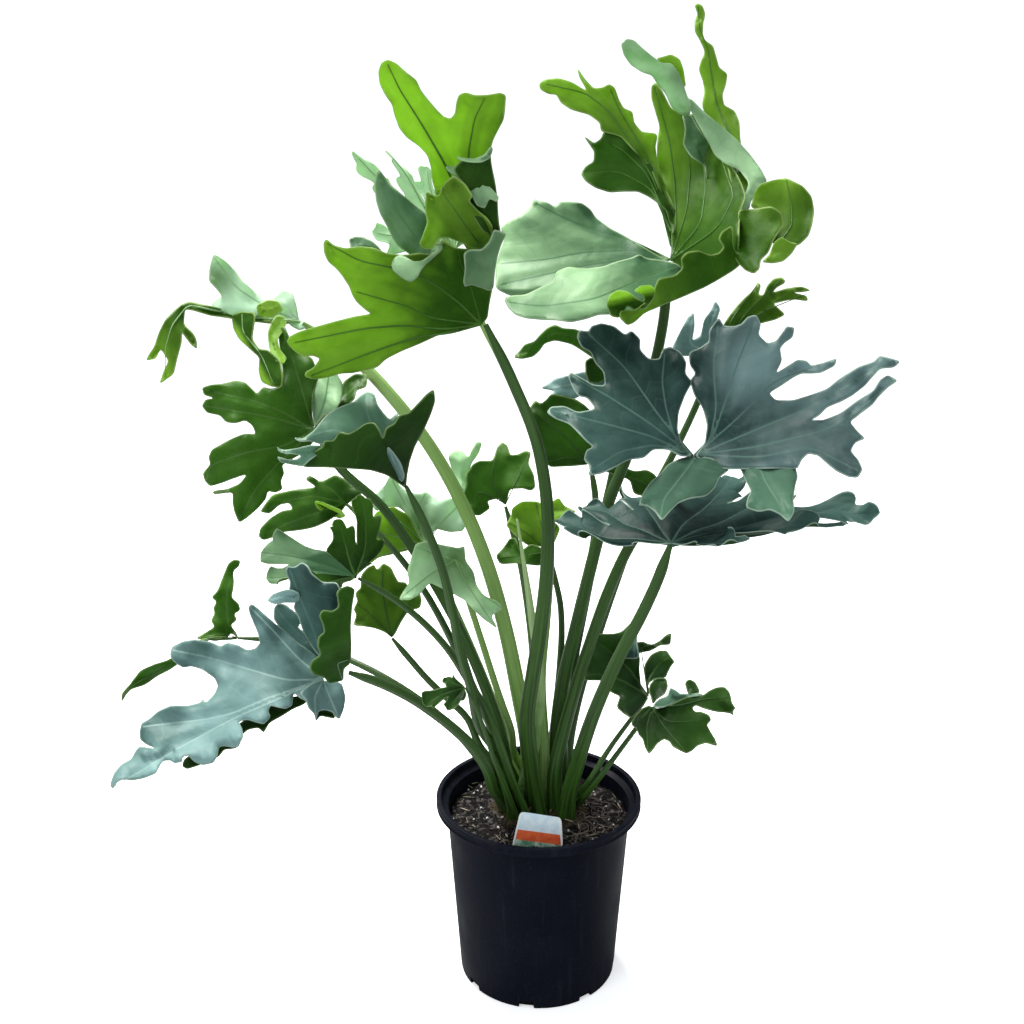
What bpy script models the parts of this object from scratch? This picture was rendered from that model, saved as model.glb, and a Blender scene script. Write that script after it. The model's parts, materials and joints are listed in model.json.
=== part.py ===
"""A split-leaf philodendron in a round nursery pot.

Metres, +Z up. The pot's axis is the Z axis and its base stands on z = 0. The plant's leaves are
placed from one viewpoint in front of the pot, on the -Y side: every point of a leaf is a spot with
the picture's right and down pixels and its distance in metres behind the pot's axis.
"""
import math

import bpy
import numpy as np
from mathutils import Vector
from mathutils.bvhtree import BVHTree

# Pot, turned about the Z axis
POT_HEIGHT = 0.190
RIM_RADIUS = 0.100
LIP_HEIGHT = 0.009
LIP_WIDTH = 0.005
LIP_ROUND = 0.002
WALL_TOP_RADIUS = 0.0897
BASE_RADIUS = 0.0777
POT_WALL = 0.0016
POT_FLOOR = 0.0022
POT_STEPS = 40
DRAIN_NOTCHES = 8
NOTCH_WIDTH = 0.017
NOTCH_HEIGHT = 0.008
NOTCH_DEPTH = 0.009
FIRST_NOTCH = math.radians(-99)

# Potting mix, crown and label
MIX_LEVEL = 0.168
MIX_DOME = 0.002
MIX_FLAT = 0.066
CROWN_AT = (0.001, 0.013)
CROWN_RADIUS = 0.048
CROWN_RISE = 0.005
CROWN_ROUND = 0.002
LABEL_CORNERS = ((-0.0241, 0.0), (0.0241, 0.0), (0.0224, 0.0290), (-0.0162, 0.0350))
LABEL_THICK = 0.0009
LABEL_LIFT = 0.0009
LABEL_AT = (-0.0022, -0.0625)
LABEL_LEAN = math.radians(-10)

# Plant
BLADE_THICK = 0.0010
BLADE_ROWS = 7
VEIN_FOLD = 0.06
VEIN_ARCH = 0.10
LOBE_CUP = 0.10
LOBE_FULL = 0.92
LOBE_SPACE = 0.46
STALK_POINTS = 10
STALK_GAP = 0.0012
RELAX_ROUNDS = 160
SEAT = 0.0004
NECK_FROM = 0.93
NECK_RADIUS = 0.0009

# The viewpoint that the leaves' spots are read from
EYE = np.array((-0.026, -1.100, 0.823))
PITCH = math.radians(17.37)
FOCAL_PIXELS = 1264.0
MIDDLE_PIXEL = 512.0
AHEAD = np.array((0.0, math.cos(PITCH), -math.sin(PITCH)))
ABOVE = np.array((0.0, math.sin(PITCH), math.cos(PITCH)))
ACROSS = np.array((1.0, 0.0, 0.0))


def lobe(half_width, web, *spots, droop=0.0, blunt=False):
    """One lobe: half its width in mm, the share of its vein that is joined to the next lobe, and
    the spots that its vein runs through, its tip last."""
    return dict(half_width=half_width / 1000, web=web, spots=spots, droop=droop, blunt=blunt)


def leaf(tone, joint, foot, stem, route, lobes):
    """One leaf: the spot where stalk and blade meet, the stalk's foot in mm, its radius in mm at
    the blade and at the foot, the spots it runs through, and its lobes in turn round the joint."""
    return dict(tone=tone, joint=joint, foot=foot, stem=stem, route=route, lobes=lobes)


LEAVES = {
    "top_left": leaf("lime", (487, 322, -0.03), (-2, -6), (4.4, 8.5), [
        (512, 380, -.04), (540, 455, -.06), (548, 540, -.065), (539, 640, -.05), (527, 720, -.03),
    ], [
        lobe(20, .85, (412, 345, -.04), (305, 376, -.05)),
        lobe(26, .52, (395, 328, -.05), (287, 340, -.06)),
        lobe(34, .55, (400, 285, -.08), (325, 242, -.10)),
        lobe(18, .45, (430, 262, -.10), (408, 281, -.15)),
        lobe(28, .52, (425, 235, -.03), (377, 170, -.02)),
        lobe(22, .62, (455, 235, -.09), (428, 190, -.10)),
        lobe(24, .68, (470, 210, -.11), (448, 145, -.14), (417, 95, -.16), (388, 60, -.17)),
        lobe(24, .52, (489, 215, -.08), (484, 150, -.12), (482, 94, -.14), blunt=True),
        lobe(24, .35, (498, 250, -.06), (483, 289, -.11)),
    ]),
    "top_right": leaf("lime", (672, 261, .05), (15, 18), (4.4, 7.8), [
        (664, 318, .06), (640, 420, .065), (606, 510, .055), (583, 600, .04), (560, 700, .015),
    ], [
        lobe(36, .88, (590, 222, .09), (500, 224, .10)),
        lobe(32, .50, (590, 252, .06), (497, 268, .05)),
        lobe(42, .45, (590, 288, -.04), (506, 298, -.09), droop=-.35),
        lobe(26, .60, (690, 293, -.06), (628, 322, -.12), droop=.5),
        lobe(28, .62, (728, 259, -.04), (750, 272, -.09)),
        lobe(42, .60, (765, 235, .02), (812, 212, .03), blunt=True),
        lobe(22, .55, (735, 188, .12), (757, 152, .07), (762, 182, -.01), (743, 206, -.05)),
        lobe(22, .62, (722, 170, .14), (722, 90, .16), (701, 7, .17)),
        lobe(32, .55, (694, 160, .14), (682, 88, .11), (625, 46, .04)),
        lobe(32, .62, (656, 168, .13), (615, 108, .15), (540, 84, .15)),
        lobe(30, .45, (648, 191, .11), (584, 172, .10)),
    ]),
    "right_wide": leaf("blue", (693, 457, -.07), (14, 2), (4.2, 7.2), [
        (660, 500, -.03), (622, 560, .0), (598, 620, .0), (572, 700, .0), (555, 770, -.005),
    ], [
        lobe(20, .72, (680, 405, -.03), (677, 350, .02)),
        lobe(22, .80, (660, 395, -.03), (640, 337, .03)),
        lobe(26, .62, (640, 395, -.04), (582, 328, .02)),
        lobe(18, .60, (630, 415, -.06), (573, 375, -.03)),
        lobe(20, .50, (625, 437, -.09), (549, 411, -.08)),
        lobe(26, .42, (645, 450, -.12), (588, 472, -.15)),
        lobe(26, .45, (683, 480, -.12), (660, 517, -.18)),
        lobe(28, .62, (748, 474, -.10), (775, 490, -.13), (788, 520, -.17)),
        lobe(28, .60, (775, 463, -.08), (862, 470, -.12)),
        lobe(18, .62, (795, 432, -.05), (850, 408, -.04), (897, 380, -.03)),
        lobe(18, .50, (785, 415, -.05), (850, 385, -.02), (900, 362, -.01)),
        lobe(20, .72, (765, 400, -.03), (838, 360, .01)),
        lobe(20, .80, (750, 380, -.02), (794, 328, .03)),
        lobe(24, .85, (735, 380, -.02), (757, 318, .04)),
        lobe(20, .45, (708, 395, -.03), (715, 332, .04)),
    ]),
    "right_low": leaf("blue", (671, 543, -.13), (24, -9), (4.5, 8.0), [
        (650, 598, -.115), (615, 665, -.09), (588, 730, -.065),
    ], [
        lobe(26, .50, (620, 545, -.16), (554, 524, -.17)),
        lobe(18, .55, (705, 545, -.18), (748, 538, -.22)),
        lobe(18, .60, (755, 532, -.16), (842, 522, -.20)),
        lobe(24, .55, (770, 512, -.12), (880, 512, -.12)),
        lobe(22, .55, (740, 505, -.07), (800, 492, -.03)),
        lobe(24, .55, (715, 510, -.06), (745, 476, .0)),
        lobe(22, .55, (650, 520, -.08), (620, 495, -.02)),
        lobe(20, .50, (620, 525, -.11), (578, 512, -.08)),
    ]),
    "mid_left": leaf("green", (405, 484, -.10), (-19, -6), (3.4, 6.0), [
        (425, 525, -.09), (447, 585, -.08), (460, 650, -.07), (487, 735, -.045),
    ], [
        lobe(17, .55, (402, 445, -.07), (397, 408, -.04)),
        lobe(24, .60, (383, 435, -.06), (368, 393, -.02)),
        lobe(20, .65, (358, 440, -.08), (330, 408, -.06)),
        lobe(16, .75, (345, 463, -.11), (279, 450, -.12)),
        lobe(22, .60, (358, 462, -.14), (316, 449, -.17)),
        lobe(24, .50, (385, 456, -.15), (352, 425, -.19)),
        lobe(26, .45, (412, 450, -.14), (432, 396, -.18)),
    ]),
    "left_dark": leaf("dark", (313, 431, .02), (-25, 19), (4.0, 6.0), [
        (340, 468, .03), (374, 497, .03), (420, 560, .03), (465, 640, .01), (500, 730, -.01),
    ], [
        lobe(16, .60, (300, 462, .0), (277, 492, -.02)),
        lobe(22, .70, (275, 475, .0), (240, 521, -.03)),
        lobe(14, .72, (262, 462, .0), (213, 486, -.02)),
        lobe(24, .60, (262, 447, .01), (205, 465, .0)),
        lobe(16, .72, (262, 417, .02), (203, 406, .02)),
        lobe(18, .65, (265, 405, .03), (204, 389, .02)),
        lobe(18, .62, (278, 398, .04), (238, 382, .05)),
        lobe(24, .58, (295, 390, .05), (290, 348, .07)),
        lobe(20, .58, (318, 395, .07), (325, 352, .10)),
        lobe(22, .45, (345, 405, .08), (366, 372, .11)),
    ]),
    "far_left_top": leaf("pale", (300, 322, .12), (-10, 18), (5.4, 8.5), [
        (345, 350, .11), (405, 412, .07), (447, 475, .05), (482, 550, .03), (508, 640, .015),
        (524, 730, .005),
    ], [
        lobe(12, .50, (294, 305, .13), (291, 289, .14)),
        lobe(22, .50, (262, 300, .12), (214, 256, .12)),
        lobe(14, .55, (250, 303, .08), (188, 304, .05), (150, 358, .04)),
        lobe(13, .55, (245, 312, .08), (185, 322, .04), (161, 383, .03)),
        lobe(18, .55, (245, 325, .09), (276, 386, .12)),
        lobe(12, .45, (272, 328, .11), (285, 363, .13)),
    ]),
    "far_left_low": leaf("green", (236, 638, .08), (-34, 9), (2.6, 4.5), [
        (300, 643, .07), (350, 660, .04), (405, 690, .01), (455, 730, -.01), (490, 775, -.02),
    ], [
        lobe(11, .45, (232, 610, .08), (238, 562, .09)),
        lobe(12, .50, (218, 630, .12), (196, 618, .15)),
        lobe(14, .55, (190, 655, .05), (123, 699, .0)),
        lobe(13, .50, (210, 650, .05), (185, 672, .0)),
    ]),
    "left_low": leaf("blue", (347, 672, -.10), (-31, -2), (4.0, 6.0), [
        (400, 692, -.09), (455, 730, -.07), (495, 775, -.05),
    ], [
        lobe(20, .45, (345, 640, -.15), (350, 588, -.18)),
        lobe(22, .60, (325, 625, -.11), (303, 564, -.11)),
        lobe(18, .70, (310, 640, -.12), (278, 606, -.12)),
        lobe(24, .65, (300, 645, -.12), (253, 606, -.10)),
        lobe(26, .66, (270, 660, -.14), (171, 655, -.14)),
        lobe(26, .78, (240, 705, -.17), (142, 735, -.20)),
        lobe(26, .85, (245, 715, -.17), (180, 760, -.20), (112, 788, -.24)),
        lobe(18, .90, (270, 715, -.17), (190, 768, -.23)),
        lobe(16, .88, (285, 712, -.16), (228, 752, -.20)),
        lobe(18, .65, (320, 690, -.13), (266, 731, -.18)),
        lobe(22, .45, (345, 695, -.12), (338, 720, -.14)),
    ]),
    "left_pale": leaf("green", (356, 577, -.05), (-11, -20), (2.8, 4.5), [
        (404, 606, -.05), (450, 652, -.05), (485, 715, -.045), (503, 770, -.045),
    ], [
        lobe(17, .50, (365, 545, -.02), (359, 494, .01)),
        lobe(12, .55, (345, 548, -.03), (334, 522, -.02)),
        lobe(22, .70, (310, 562, -.05), (261, 556, -.05)),
        lobe(14, .60, (312, 572, -.06), (266, 581, -.07)),
        lobe(16, .45, (335, 580, -.06), (318, 584, -.08)),
    ]),
    "left_inner": leaf("dark", (345, 503, .07), (-15, 28), (2.8, 4.5), [
        (385, 540, .035), (430, 600, .02), (470, 680, .015), (505, 760, .01),
    ], [
        lobe(14, .50, (330, 522, .03), (318, 545, .0)),
        lobe(16, .60, (300, 522, .05), (264, 538, .03)),
        lobe(14, .60, (300, 508, .05), (262, 513, .04)),
        lobe(16, .60, (325, 490, .08), (306, 476, .09)),
        lobe(16, .45, (345, 488, .09), (345, 468, .11)),
    ]),
    "inner_low": leaf("dark", (391, 637, -.01), (-25, -14), (2.8, 4.2), [
        (430, 682, -.02), (470, 722, -.03), (500, 778, -.045),
    ], [
        lobe(14, .60, (370, 622, -.01), (354, 627, -.02)),
        lobe(17, .60, (370, 600, -.01), (357, 585, -.01)),
        lobe(17, .55, (385, 595, .0), (380, 562, .01)),
        lobe(16, .60, (402, 605, .0), (412, 580, .02)),
        lobe(12, .45, (408, 620, .01), (422, 606, .02)),
    ]),
    "inner_pale": leaf("pale", (425, 545, .10), (-16, 38), (2.8, 4.5), [
        (462, 625, .08), (495, 705, .05),
    ], [
        lobe(16, .50, (440, 525, .12), (450, 500, .14)),
        lobe(16, .60, (428, 515, .12), (426, 478, .14)),
        lobe(17, .60, (408, 515, .11), (388, 478, .12)),
        lobe(17, .60, (395, 530, .09), (363, 520, .07)),
        lobe(17, .60, (395, 545, .08), (359, 552, .05)),
        lobe(17, .50, (410, 560, .07), (388, 575, .05)),
    ]),
    "inner_pale_low": leaf("pale", (455, 560, -.015), (-4, 24), (2.8, 4.5), [
        (478, 630, -.015), (502, 705, -.01),
    ], [
        lobe(15, .55, (432, 552, -.02), (408, 548, -.03)),
        lobe(18, .55, (425, 575, -.035), (400, 597, -.06)),
        lobe(15, .55, (450, 580, -.04), (445, 602, -.06)),
        lobe(17, .55, (478, 590, -.03), (498, 618, -.05)),
        lobe(15, .50, (482, 568, -.01), (500, 572, -.02)),
    ]),
    "back_mid": leaf("green", (505, 505, .20), (-3, 43), (3.4, 5.5), [
        (520, 560, .17), (532, 640, .12), (536, 720, .06),
    ], [
        lobe(18, .50, (495, 508, .17), (480, 520, .14)),
        lobe(20, .60, (480, 498, .19), (452, 490, .18)),
        lobe(20, .60, (490, 475, .22), (480, 443, .24)),
        lobe(20, .60, (508, 475, .23), (508, 443, .26)),
        lobe(18, .60, (522, 478, .23), (536, 458, .25)),
        lobe(18, .50, (522, 495, .21), (540, 492, .20)),
    ]),
    "mid_bright": leaf("lime", (548, 552, .11), (8, 36), (2.8, 4.8), [
        (561, 610, .10), (559, 680, .07), (552, 740, .035),
    ], [
        lobe(17, .50, (536, 558, .08), (530, 568, .05)),
        lobe(18, .60, (525, 548, .10), (500, 552, .09)),
        lobe(20, .60, (532, 530, .13), (520, 503, .15)),
        lobe(20, .60, (552, 528, .14), (558, 500, .17)),
        lobe(17, .50, (565, 535, .13), (577, 513, .15)),
    ]),
    "mid_dark": leaf("dark", (590, 462, .13), (26, 28), (3.2, 5.4), [
        (596, 520, .12), (582, 600, .09), (564, 690, .04),
    ], [
        lobe(17, .50, (578, 466, .11), (562, 468, .09)),
        lobe(18, .60, (565, 458, .12), (540, 464, .11)),
        lobe(20, .60, (558, 448, .14), (521, 442, .14)),
        lobe(20, .60, (560, 432, .16), (530, 407, .17)),
        lobe(20, .60, (572, 425, .17), (555, 393, .20)),
        lobe(20, .60, (590, 425, .18), (590, 392, .22)),
        lobe(18, .50, (602, 440, .17), (612, 420, .20)),
    ]),
    "mid_back": leaf("green", (612, 375, .17), (14, 46), (3.2, 5.4), [
        (619, 430, .16), (602, 520, .14), (584, 610, .11), (566, 700, .06),
    ], [
        lobe(16, .50, (592, 392, .13), (572, 402, .10)),
        lobe(16, .60, (575, 382, .14), (543, 387, .12)),
        lobe(16, .60, (565, 358, .15), (516, 356, .12)),
        lobe(18, .60, (580, 348, .17), (546, 327, .17)),
        lobe(20, .60, (602, 345, .19), (590, 316, .22)),
        lobe(18, .50, (625, 350, .20), (636, 326, .23)),
    ]),
    "right_back": leaf("green", (716, 352, .15), (28, 41), (3.2, 5.4), [
        (690, 420, .15), (640, 520, .14), (603, 620, .12), (572, 720, .06),
    ], [
        lobe(15, .50, (690, 350, .15), (660, 338, .15)),
        lobe(14, .55, (704, 335, .17), (694, 313, .19)),
        lobe(14, .60, (717, 328, .18), (720, 304, .21)),
        lobe(16, .65, (738, 322, .18), (758, 283, .19)),
        lobe(16, .75, (748, 318, .17), (781, 278, .17)),
        lobe(16, .75, (760, 320, .15), (811, 293, .14)),
        lobe(15, .45, (758, 330, .14), (806, 303, .12)),
    ]),
    "top_back": leaf("pale", (455, 250, .16), (2, 10), (3.0, 6.0), [
        (466, 288, .175), (493, 345, .14), (522, 402, .11), (545, 472, .08), (550, 560, .06),
        (543, 650, .04), (538, 730, .01),
    ], [
        lobe(18, .50, (425, 262, .12), (395, 288, .10)),
        lobe(18, .55, (412, 238, .14), (372, 232, .12)),
        lobe(18, .55, (405, 205, .16), (352, 152, .14)),
        lobe(18, .55, (420, 200, .18), (385, 150, .19)),
        lobe(18, .55, (438, 208, .20), (428, 168, .23)),
        lobe(18, .50, (468, 220, .20), (475, 190, .23)),
    ]),
    "low_right_up": leaf("dark", (648, 697, .03), (37, 19), (2.0, 3.6), [
        (612, 745, .025), (590, 780, .01),
    ], [
        lobe(16, .50, (632, 698, .01), (620, 696, -.01)),
        lobe(18, .60, (615, 685, .03), (580, 676, .03)),
        lobe(18, .60, (615, 665, .05), (592, 637, .06)),
        lobe(20, .60, (640, 660, .07), (639, 622, .10)),
        lobe(16, .60, (658, 665, .08), (671, 636, .12)),
        lobe(15, .50, (662, 680, .06), (675, 661, .08)),
    ]),
    "low_right_down": leaf("dark", (652, 706, -.03), (36, 3), (2.0, 3.6), [
        (620, 750, -.03), (590, 790, -.025),
    ], [
        lobe(14, .50, (655, 694, .0), (657, 680, .02)),
        lobe(16, .60, (672, 693, .0), (691, 680, .02)),
        lobe(16, .60, (690, 700, -.01), (724, 687, -.01)),
        lobe(16, .65, (692, 708, -.03), (734, 711, -.04)),
        lobe(18, .65, (685, 722, -.05), (717, 744, -.07)),
        lobe(18, .60, (670, 728, -.06), (685, 752, -.09)),
        lobe(16, .60, (654, 728, -.06), (649, 752, -.09)),
        lobe(16, .50, (636, 712, -.05), (618, 708, -.05)),
    ]),
    "small_low": leaf("dark", (465, 687, -.11), (-19, -21), (1.6, 2.8), [
        (478, 712, -.10), (496, 765, -.075),
    ], [
        lobe(8, .60, (456, 684, -.11), (446, 677, -.105)),
        lobe(13, .60, (448, 692, -.12), (426, 706, -.13)),
        lobe(8, .50, (458, 696, -.12), (448, 710, -.13)),
    ]),
}

# The rolled new leaf: its foot in mm, then the spots up to its tip and the radius in mm at each
SPEAR_FOOT = (-17, 6)
SPEAR_ROUTE = [(540, 700, -.01), (531, 610, .0), (517, 519, .01)]
SPEAR_RADII = (6.0, 5.5, 4.0, 1.0)

COLOURS = {
    "lime": (0.270, 0.420, 0.070),
    "green": (0.110, 0.220, 0.060),
    "blue": (0.170, 0.270, 0.230),
    "dark": (0.070, 0.150, 0.050),
    "pale": (0.420, 0.560, 0.220),
    "stalk": (0.180, 0.290, 0.100),
    "crown": (0.130, 0.095, 0.050),
    "pot": (0.020, 0.022, 0.030),
    "mix": (0.040, 0.028, 0.020),
    "label": (0.800, 0.840, 0.850),
}
ROUGHNESS = {"pot": 0.42, "mix": 0.95, "crown": 0.80, "label": 0.40}


def clear_scene():
    for old in list(bpy.data.objects):
        bpy.data.objects.remove(old, do_unlink=True)


def new_collection(name):
    group = bpy.data.collections.new(name)
    bpy.context.scene.collection.children.link(group)
    return group


def dress(part, key):
    """Give the part its own Principled material in the key's colour."""
    material = bpy.data.materials.new(part.name)
    material.use_nodes = True
    shader = material.node_tree.nodes["Principled BSDF"]
    shader.inputs["Base Color"].default_value = (*COLOURS[key], 1)
    shader.inputs["Roughness"].default_value = ROUGHNESS.get(key, 0.45)
    shader.inputs["Metallic"].default_value = 0.0
    part.data.materials.append(material)


def mesh_object(name, points, faces, group):
    mesh = bpy.data.meshes.new(name)
    mesh.from_pydata([tuple(p) for p in points], [], faces)
    mesh.shade_smooth()
    part = bpy.data.objects.new(name, mesh)
    group.objects.link(part)
    return part


def unit(v):
    return v / np.linalg.norm(v)


def square_to(v, axis):
    return unit(v - axis * (v @ axis))


def ease(x):
    x = min(max(x, 0.0), 1.0)
    return x * x * (3 - 2 * x)


def spot(right, down, behind):
    """The point `behind` metres behind the pot's axis that the viewpoint sees at a pixel."""
    ray = (AHEAD + ACROSS * (right - MIDDLE_PIXEL) / FOCAL_PIXELS
           + ABOVE * (MIDDLE_PIXEL - down) / FOCAL_PIXELS)
    return EYE + ray * (behind - EYE[1]) / ray[1]


def through(points, count):
    """A smooth curve through the points, as `count` points evenly spaced along it."""
    p = np.array([2 * points[0] - points[1], *points, 2 * points[-1] - points[-2]])
    dense = []
    for a, b, c, d in zip(p, p[1:], p[2:], p[3:]):
        for u in np.linspace(0, 1, 16, endpoint=False):
            dense.append(b + (c - a) * u / 2 + (2 * a - 5 * b + 4 * c - d) * u * u / 2
                         + (3 * b - a - 3 * c + d) * u ** 3 / 2)
    dense = np.array([*dense, p[-2]])
    along = np.concatenate([[0], np.cumsum(np.linalg.norm(np.diff(dense, axis=0), axis=1))])
    even = np.linspace(0, along[-1], count)
    return np.stack([np.interp(even, along, dense[:, axis]) for axis in range(3)], axis=1)


def vein_line(joint, one):
    """A lobe's vein from the joint to its tip, arched a little where only its tip is given."""
    points = [joint, *(spot(*s) for s in one["spots"])]
    if len(points) == 2:
        rise = VEIN_ARCH * np.linalg.norm(points[1] - points[0])
        points.insert(1, (points[0] + points[1]) / 2 + np.array((0, 0, rise)))
    return points


def blade_sheet(one, rows):
    """The blade's open sheet, upper face out: its points and its faces.

    Each lobe's vein has the same rows. Neighbouring veins are joined by a web up to the row where
    the two lobes part. From there each lobe has its own free margin on that side.
    """
    joint = spot(*one["joint"])
    lobes = one["lobes"]
    last = len(lobes) - 1
    stops = [1 - (1 - i / rows) ** 1.25 for i in range(rows + 1)]
    veins = []
    for each in lobes:
        line = through(vein_line(joint, each), 61)
        veins.append(np.array([[np.interp(t * 60, range(61), line[:, a]) for a in range(3)]
                               for t in stops]))
    outward = [unit(vein[rows // 2] - joint) for vein in veins]
    points = [joint]
    faces = []

    def add(point):
        points.append(point)
        return len(points) - 1

    def side_and_normal(k, i):
        heading = unit(veins[k][min(i + 1, rows)] - veins[k][max(i - 1, 0)])
        side = square_to(outward[min(k + 1, last)] - outward[max(k - 1, 0)], heading)
        return side, np.cross(heading, side)

    marks = [[0] + [add(vein[i]) for i in range(1, rows + 1)] for vein in veins]
    parts_at = [max(1, min(rows - 2, round(rows * (1 - (1 - each["web"]) ** 0.8)))) for each in lobes]
    web_ends = []
    for k in range(last):
        middles = [0]
        for i in range(1, parts_at[k] + 1):
            a, b = veins[k][i], veins[k + 1][i]
            normal = unit(side_and_normal(k, i)[1] + side_and_normal(k + 1, i)[1])
            middles.append(add((a + b) / 2 + normal * np.linalg.norm(b - a) * VEIN_FOLD))
        for i in range(parts_at[k]):
            for near, far in ((marks[k], middles), (middles, marks[k + 1])):
                ring = [near[i], near[i + 1], far[i + 1], far[i]]
                faces.append(ring[:3] if i == 0 else ring)
        web_ends.append(middles[-1])

    for k, each in enumerate(lobes):
        for way in (-1, 1):
            other = k + way
            webbed = 0 <= other <= last
            start = parts_at[min(k, other)] if webbed else 0
            margin = web_ends[min(k, other)] if webbed else 0
            reach = points[margin] - veins[k][start]
            for i in range(start + 1, rows):
                free = (stops[i] - stops[start]) / (1 - stops[start])
                side, normal = side_and_normal(k, i)
                width = each["half_width"] * LOBE_FULL
                width *= (1 - free ** 6) ** 0.45 if each["blunt"] else (1 - free ** 3.2) ** 0.62
                if webbed:
                    width = min(width, LOBE_SPACE * np.linalg.norm(veins[other][i] - veins[k][i]))
                    mix = ease(free / 0.35)
                    edge = reach * (1 - mix) * (1 - free ** 3.2) ** 0.6 + side * way * width * mix
                else:
                    edge = side * way * width * ease(free / 0.35) ** 0.7
                edge = edge + normal * width * (LOBE_CUP + each["droop"])
                here = add(veins[k][i] + edge)
                ring = [marks[k][i - 1], marks[k][i], here, margin]
                ring = ring[:3] if margin == 0 and i == 1 else ring
                faces.append(ring if way > 0 else ring[::-1])
                margin = here
            tip = [marks[k][rows - 1], marks[k][rows], margin]
            faces.append(tip if way > 0 else tip[::-1])
    return points, faces


def stalk_radius(stem, t):
    """The stalk's radius at the share t of its length from its foot to the blade."""
    top, foot = stem[0] / 1000, stem[1] / 1000
    radius = foot + (top - foot) * t ** 0.8
    return radius if t < NECK_FROM else NECK_RADIUS + (radius - NECK_RADIUS) * (1 - t) / (1 - NECK_FROM)


def foot_point(foot):
    return np.array((foot[0] / 1000, foot[1] / 1000, MIX_LEVEL + CROWN_RISE + SEAT))


def stalk_lines():
    """Each stalk's centre line from its foot up, pushed apart where two of them would meet."""
    names = [*LEAVES, "spear"]
    lines = [through([foot_point(one["foot"]), *(spot(*s) for s in one["route"][::-1]),
                      spot(*one["joint"])], STALK_POINTS) for one in LEAVES.values()]
    lines.append(through([foot_point(SPEAR_FOOT), *(spot(*s) for s in SPEAR_ROUTE)], STALK_POINTS))
    lines = np.array(lines)
    stems = [one["stem"] for one in LEAVES.values()] + [(SPEAR_RADII[-1], SPEAR_RADII[0])]
    steps = np.linspace(0, STALK_POINTS - 1, (STALK_POINTS - 1) * 8 + 1)
    low = np.minimum(steps.astype(int), STALK_POINTS - 2)
    high_share = steps - low
    weight = np.zeros((len(steps), STALK_POINTS))
    weight[range(len(steps)), low] = 1 - high_share
    weight[range(len(steps)), low + 1] = high_share
    radii = np.array([[stalk_radius(stem, t / (STALK_POINTS - 1)) for t in steps] for stem in stems])
    hold = np.ones(STALK_POINTS)
    hold[-1] = 0.0
    hold[-2] = 0.5
    count = len(lines)
    for _ in range(RELAX_ROUNDS):
        samples = weight @ lines
        push = np.zeros_like(samples)
        for a in range(count):
            for b in range(a + 1, count):
                apart = samples[a][:, None] - samples[b][None]
                distance = np.linalg.norm(apart, axis=2)
                short = radii[a][:, None] + radii[b][None] + STALK_GAP - distance
                if short.max() <= 0:
                    continue
                i, j = np.unravel_index(short.argmax(), short.shape)
                away = apart[i, j] / max(distance[i, j], 1e-6) * short[i, j] * 0.6
                push[a][i] += away
                push[b][j] -= away
        if not push.any():
            break
        move = np.einsum("sp,nsd->npd", weight, push) * hold[None, :, None]
        move[:, 0, 2] = 0.0
        lines = lines + move
    return dict(zip(names, lines))


def tube(name, line, radii, group):
    """A capped tube along the line, with a radius at each of its points."""
    curve = bpy.data.curves.new(name, "CURVE")
    curve.dimensions = "3D"
    curve.bevel_depth = 1.0
    curve.bevel_resolution = 1
    curve.use_fill_caps = True
    spline = curve.splines.new("POLY")
    spline.points.add(len(line) - 1)
    for point, at, radius in zip(spline.points, line, radii):
        point.co = (*at, 1)
        point.radius = radius
    part = bpy.data.objects.new(name, curve)
    group.objects.link(part)
    return part


def lifted(line, radius):
    """The line with its foot raised so that the tube's slanted end cap clears the crown."""
    heading = unit(line[1] - line[0])
    tilt = math.hypot(heading[0], heading[1])
    return np.vstack([line[0] + np.array((0, 0, radius * tilt)), line[1:]])


def trimmed(line, stem, sheet):
    """The line cut back at its top until the tube there just clears the blade's sheet."""
    clear = BLADE_THICK / 2 + SEAT * 0.7
    dense = through(list(line), 961)
    from_top = np.linalg.norm(dense - dense[-1], axis=1)
    shares = np.linspace(0, 1, STALK_POINTS + 3)
    for cut in np.arange(0.0008, 0.015, 0.0001):
        kept = int((from_top > cut).sum())
        gaps = []
        for t in np.linspace(0.88, 1.0, 17):
            at = dense[round(t * (kept - 1))]
            heading = unit(dense[round(t * (kept - 1))] - dense[round(t * (kept - 1)) - 8])
            side = square_to(ACROSS, heading)
            for turn in np.linspace(0, 2 * math.pi, 8, endpoint=False):
                out = side * math.cos(turn) + np.cross(heading, side) * math.sin(turn)
                gaps.append(sheet.find_nearest(Vector(at + out * stalk_radius(stem, t)))[3])
        if min(gaps) >= clear:
            break
    return dense[np.round(shares * (kept - 1)).astype(int)]


def turned(name, outline, group):
    """A profile turned about the Z axis."""
    edges = [(i, i + 1) for i in range(len(outline) - 1)]
    mesh = bpy.data.meshes.new(name)
    mesh.from_pydata([(r, 0, z) for r, z in outline], edges, [])
    part = bpy.data.objects.new(name, mesh)
    group.objects.link(part)
    screw = part.modifiers.new("turn", "SCREW")
    screw.steps = POT_STEPS
    screw.render_steps = POT_STEPS
    screw.use_merge_vertices = True
    screw.merge_threshold = 0.0001
    return part


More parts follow.
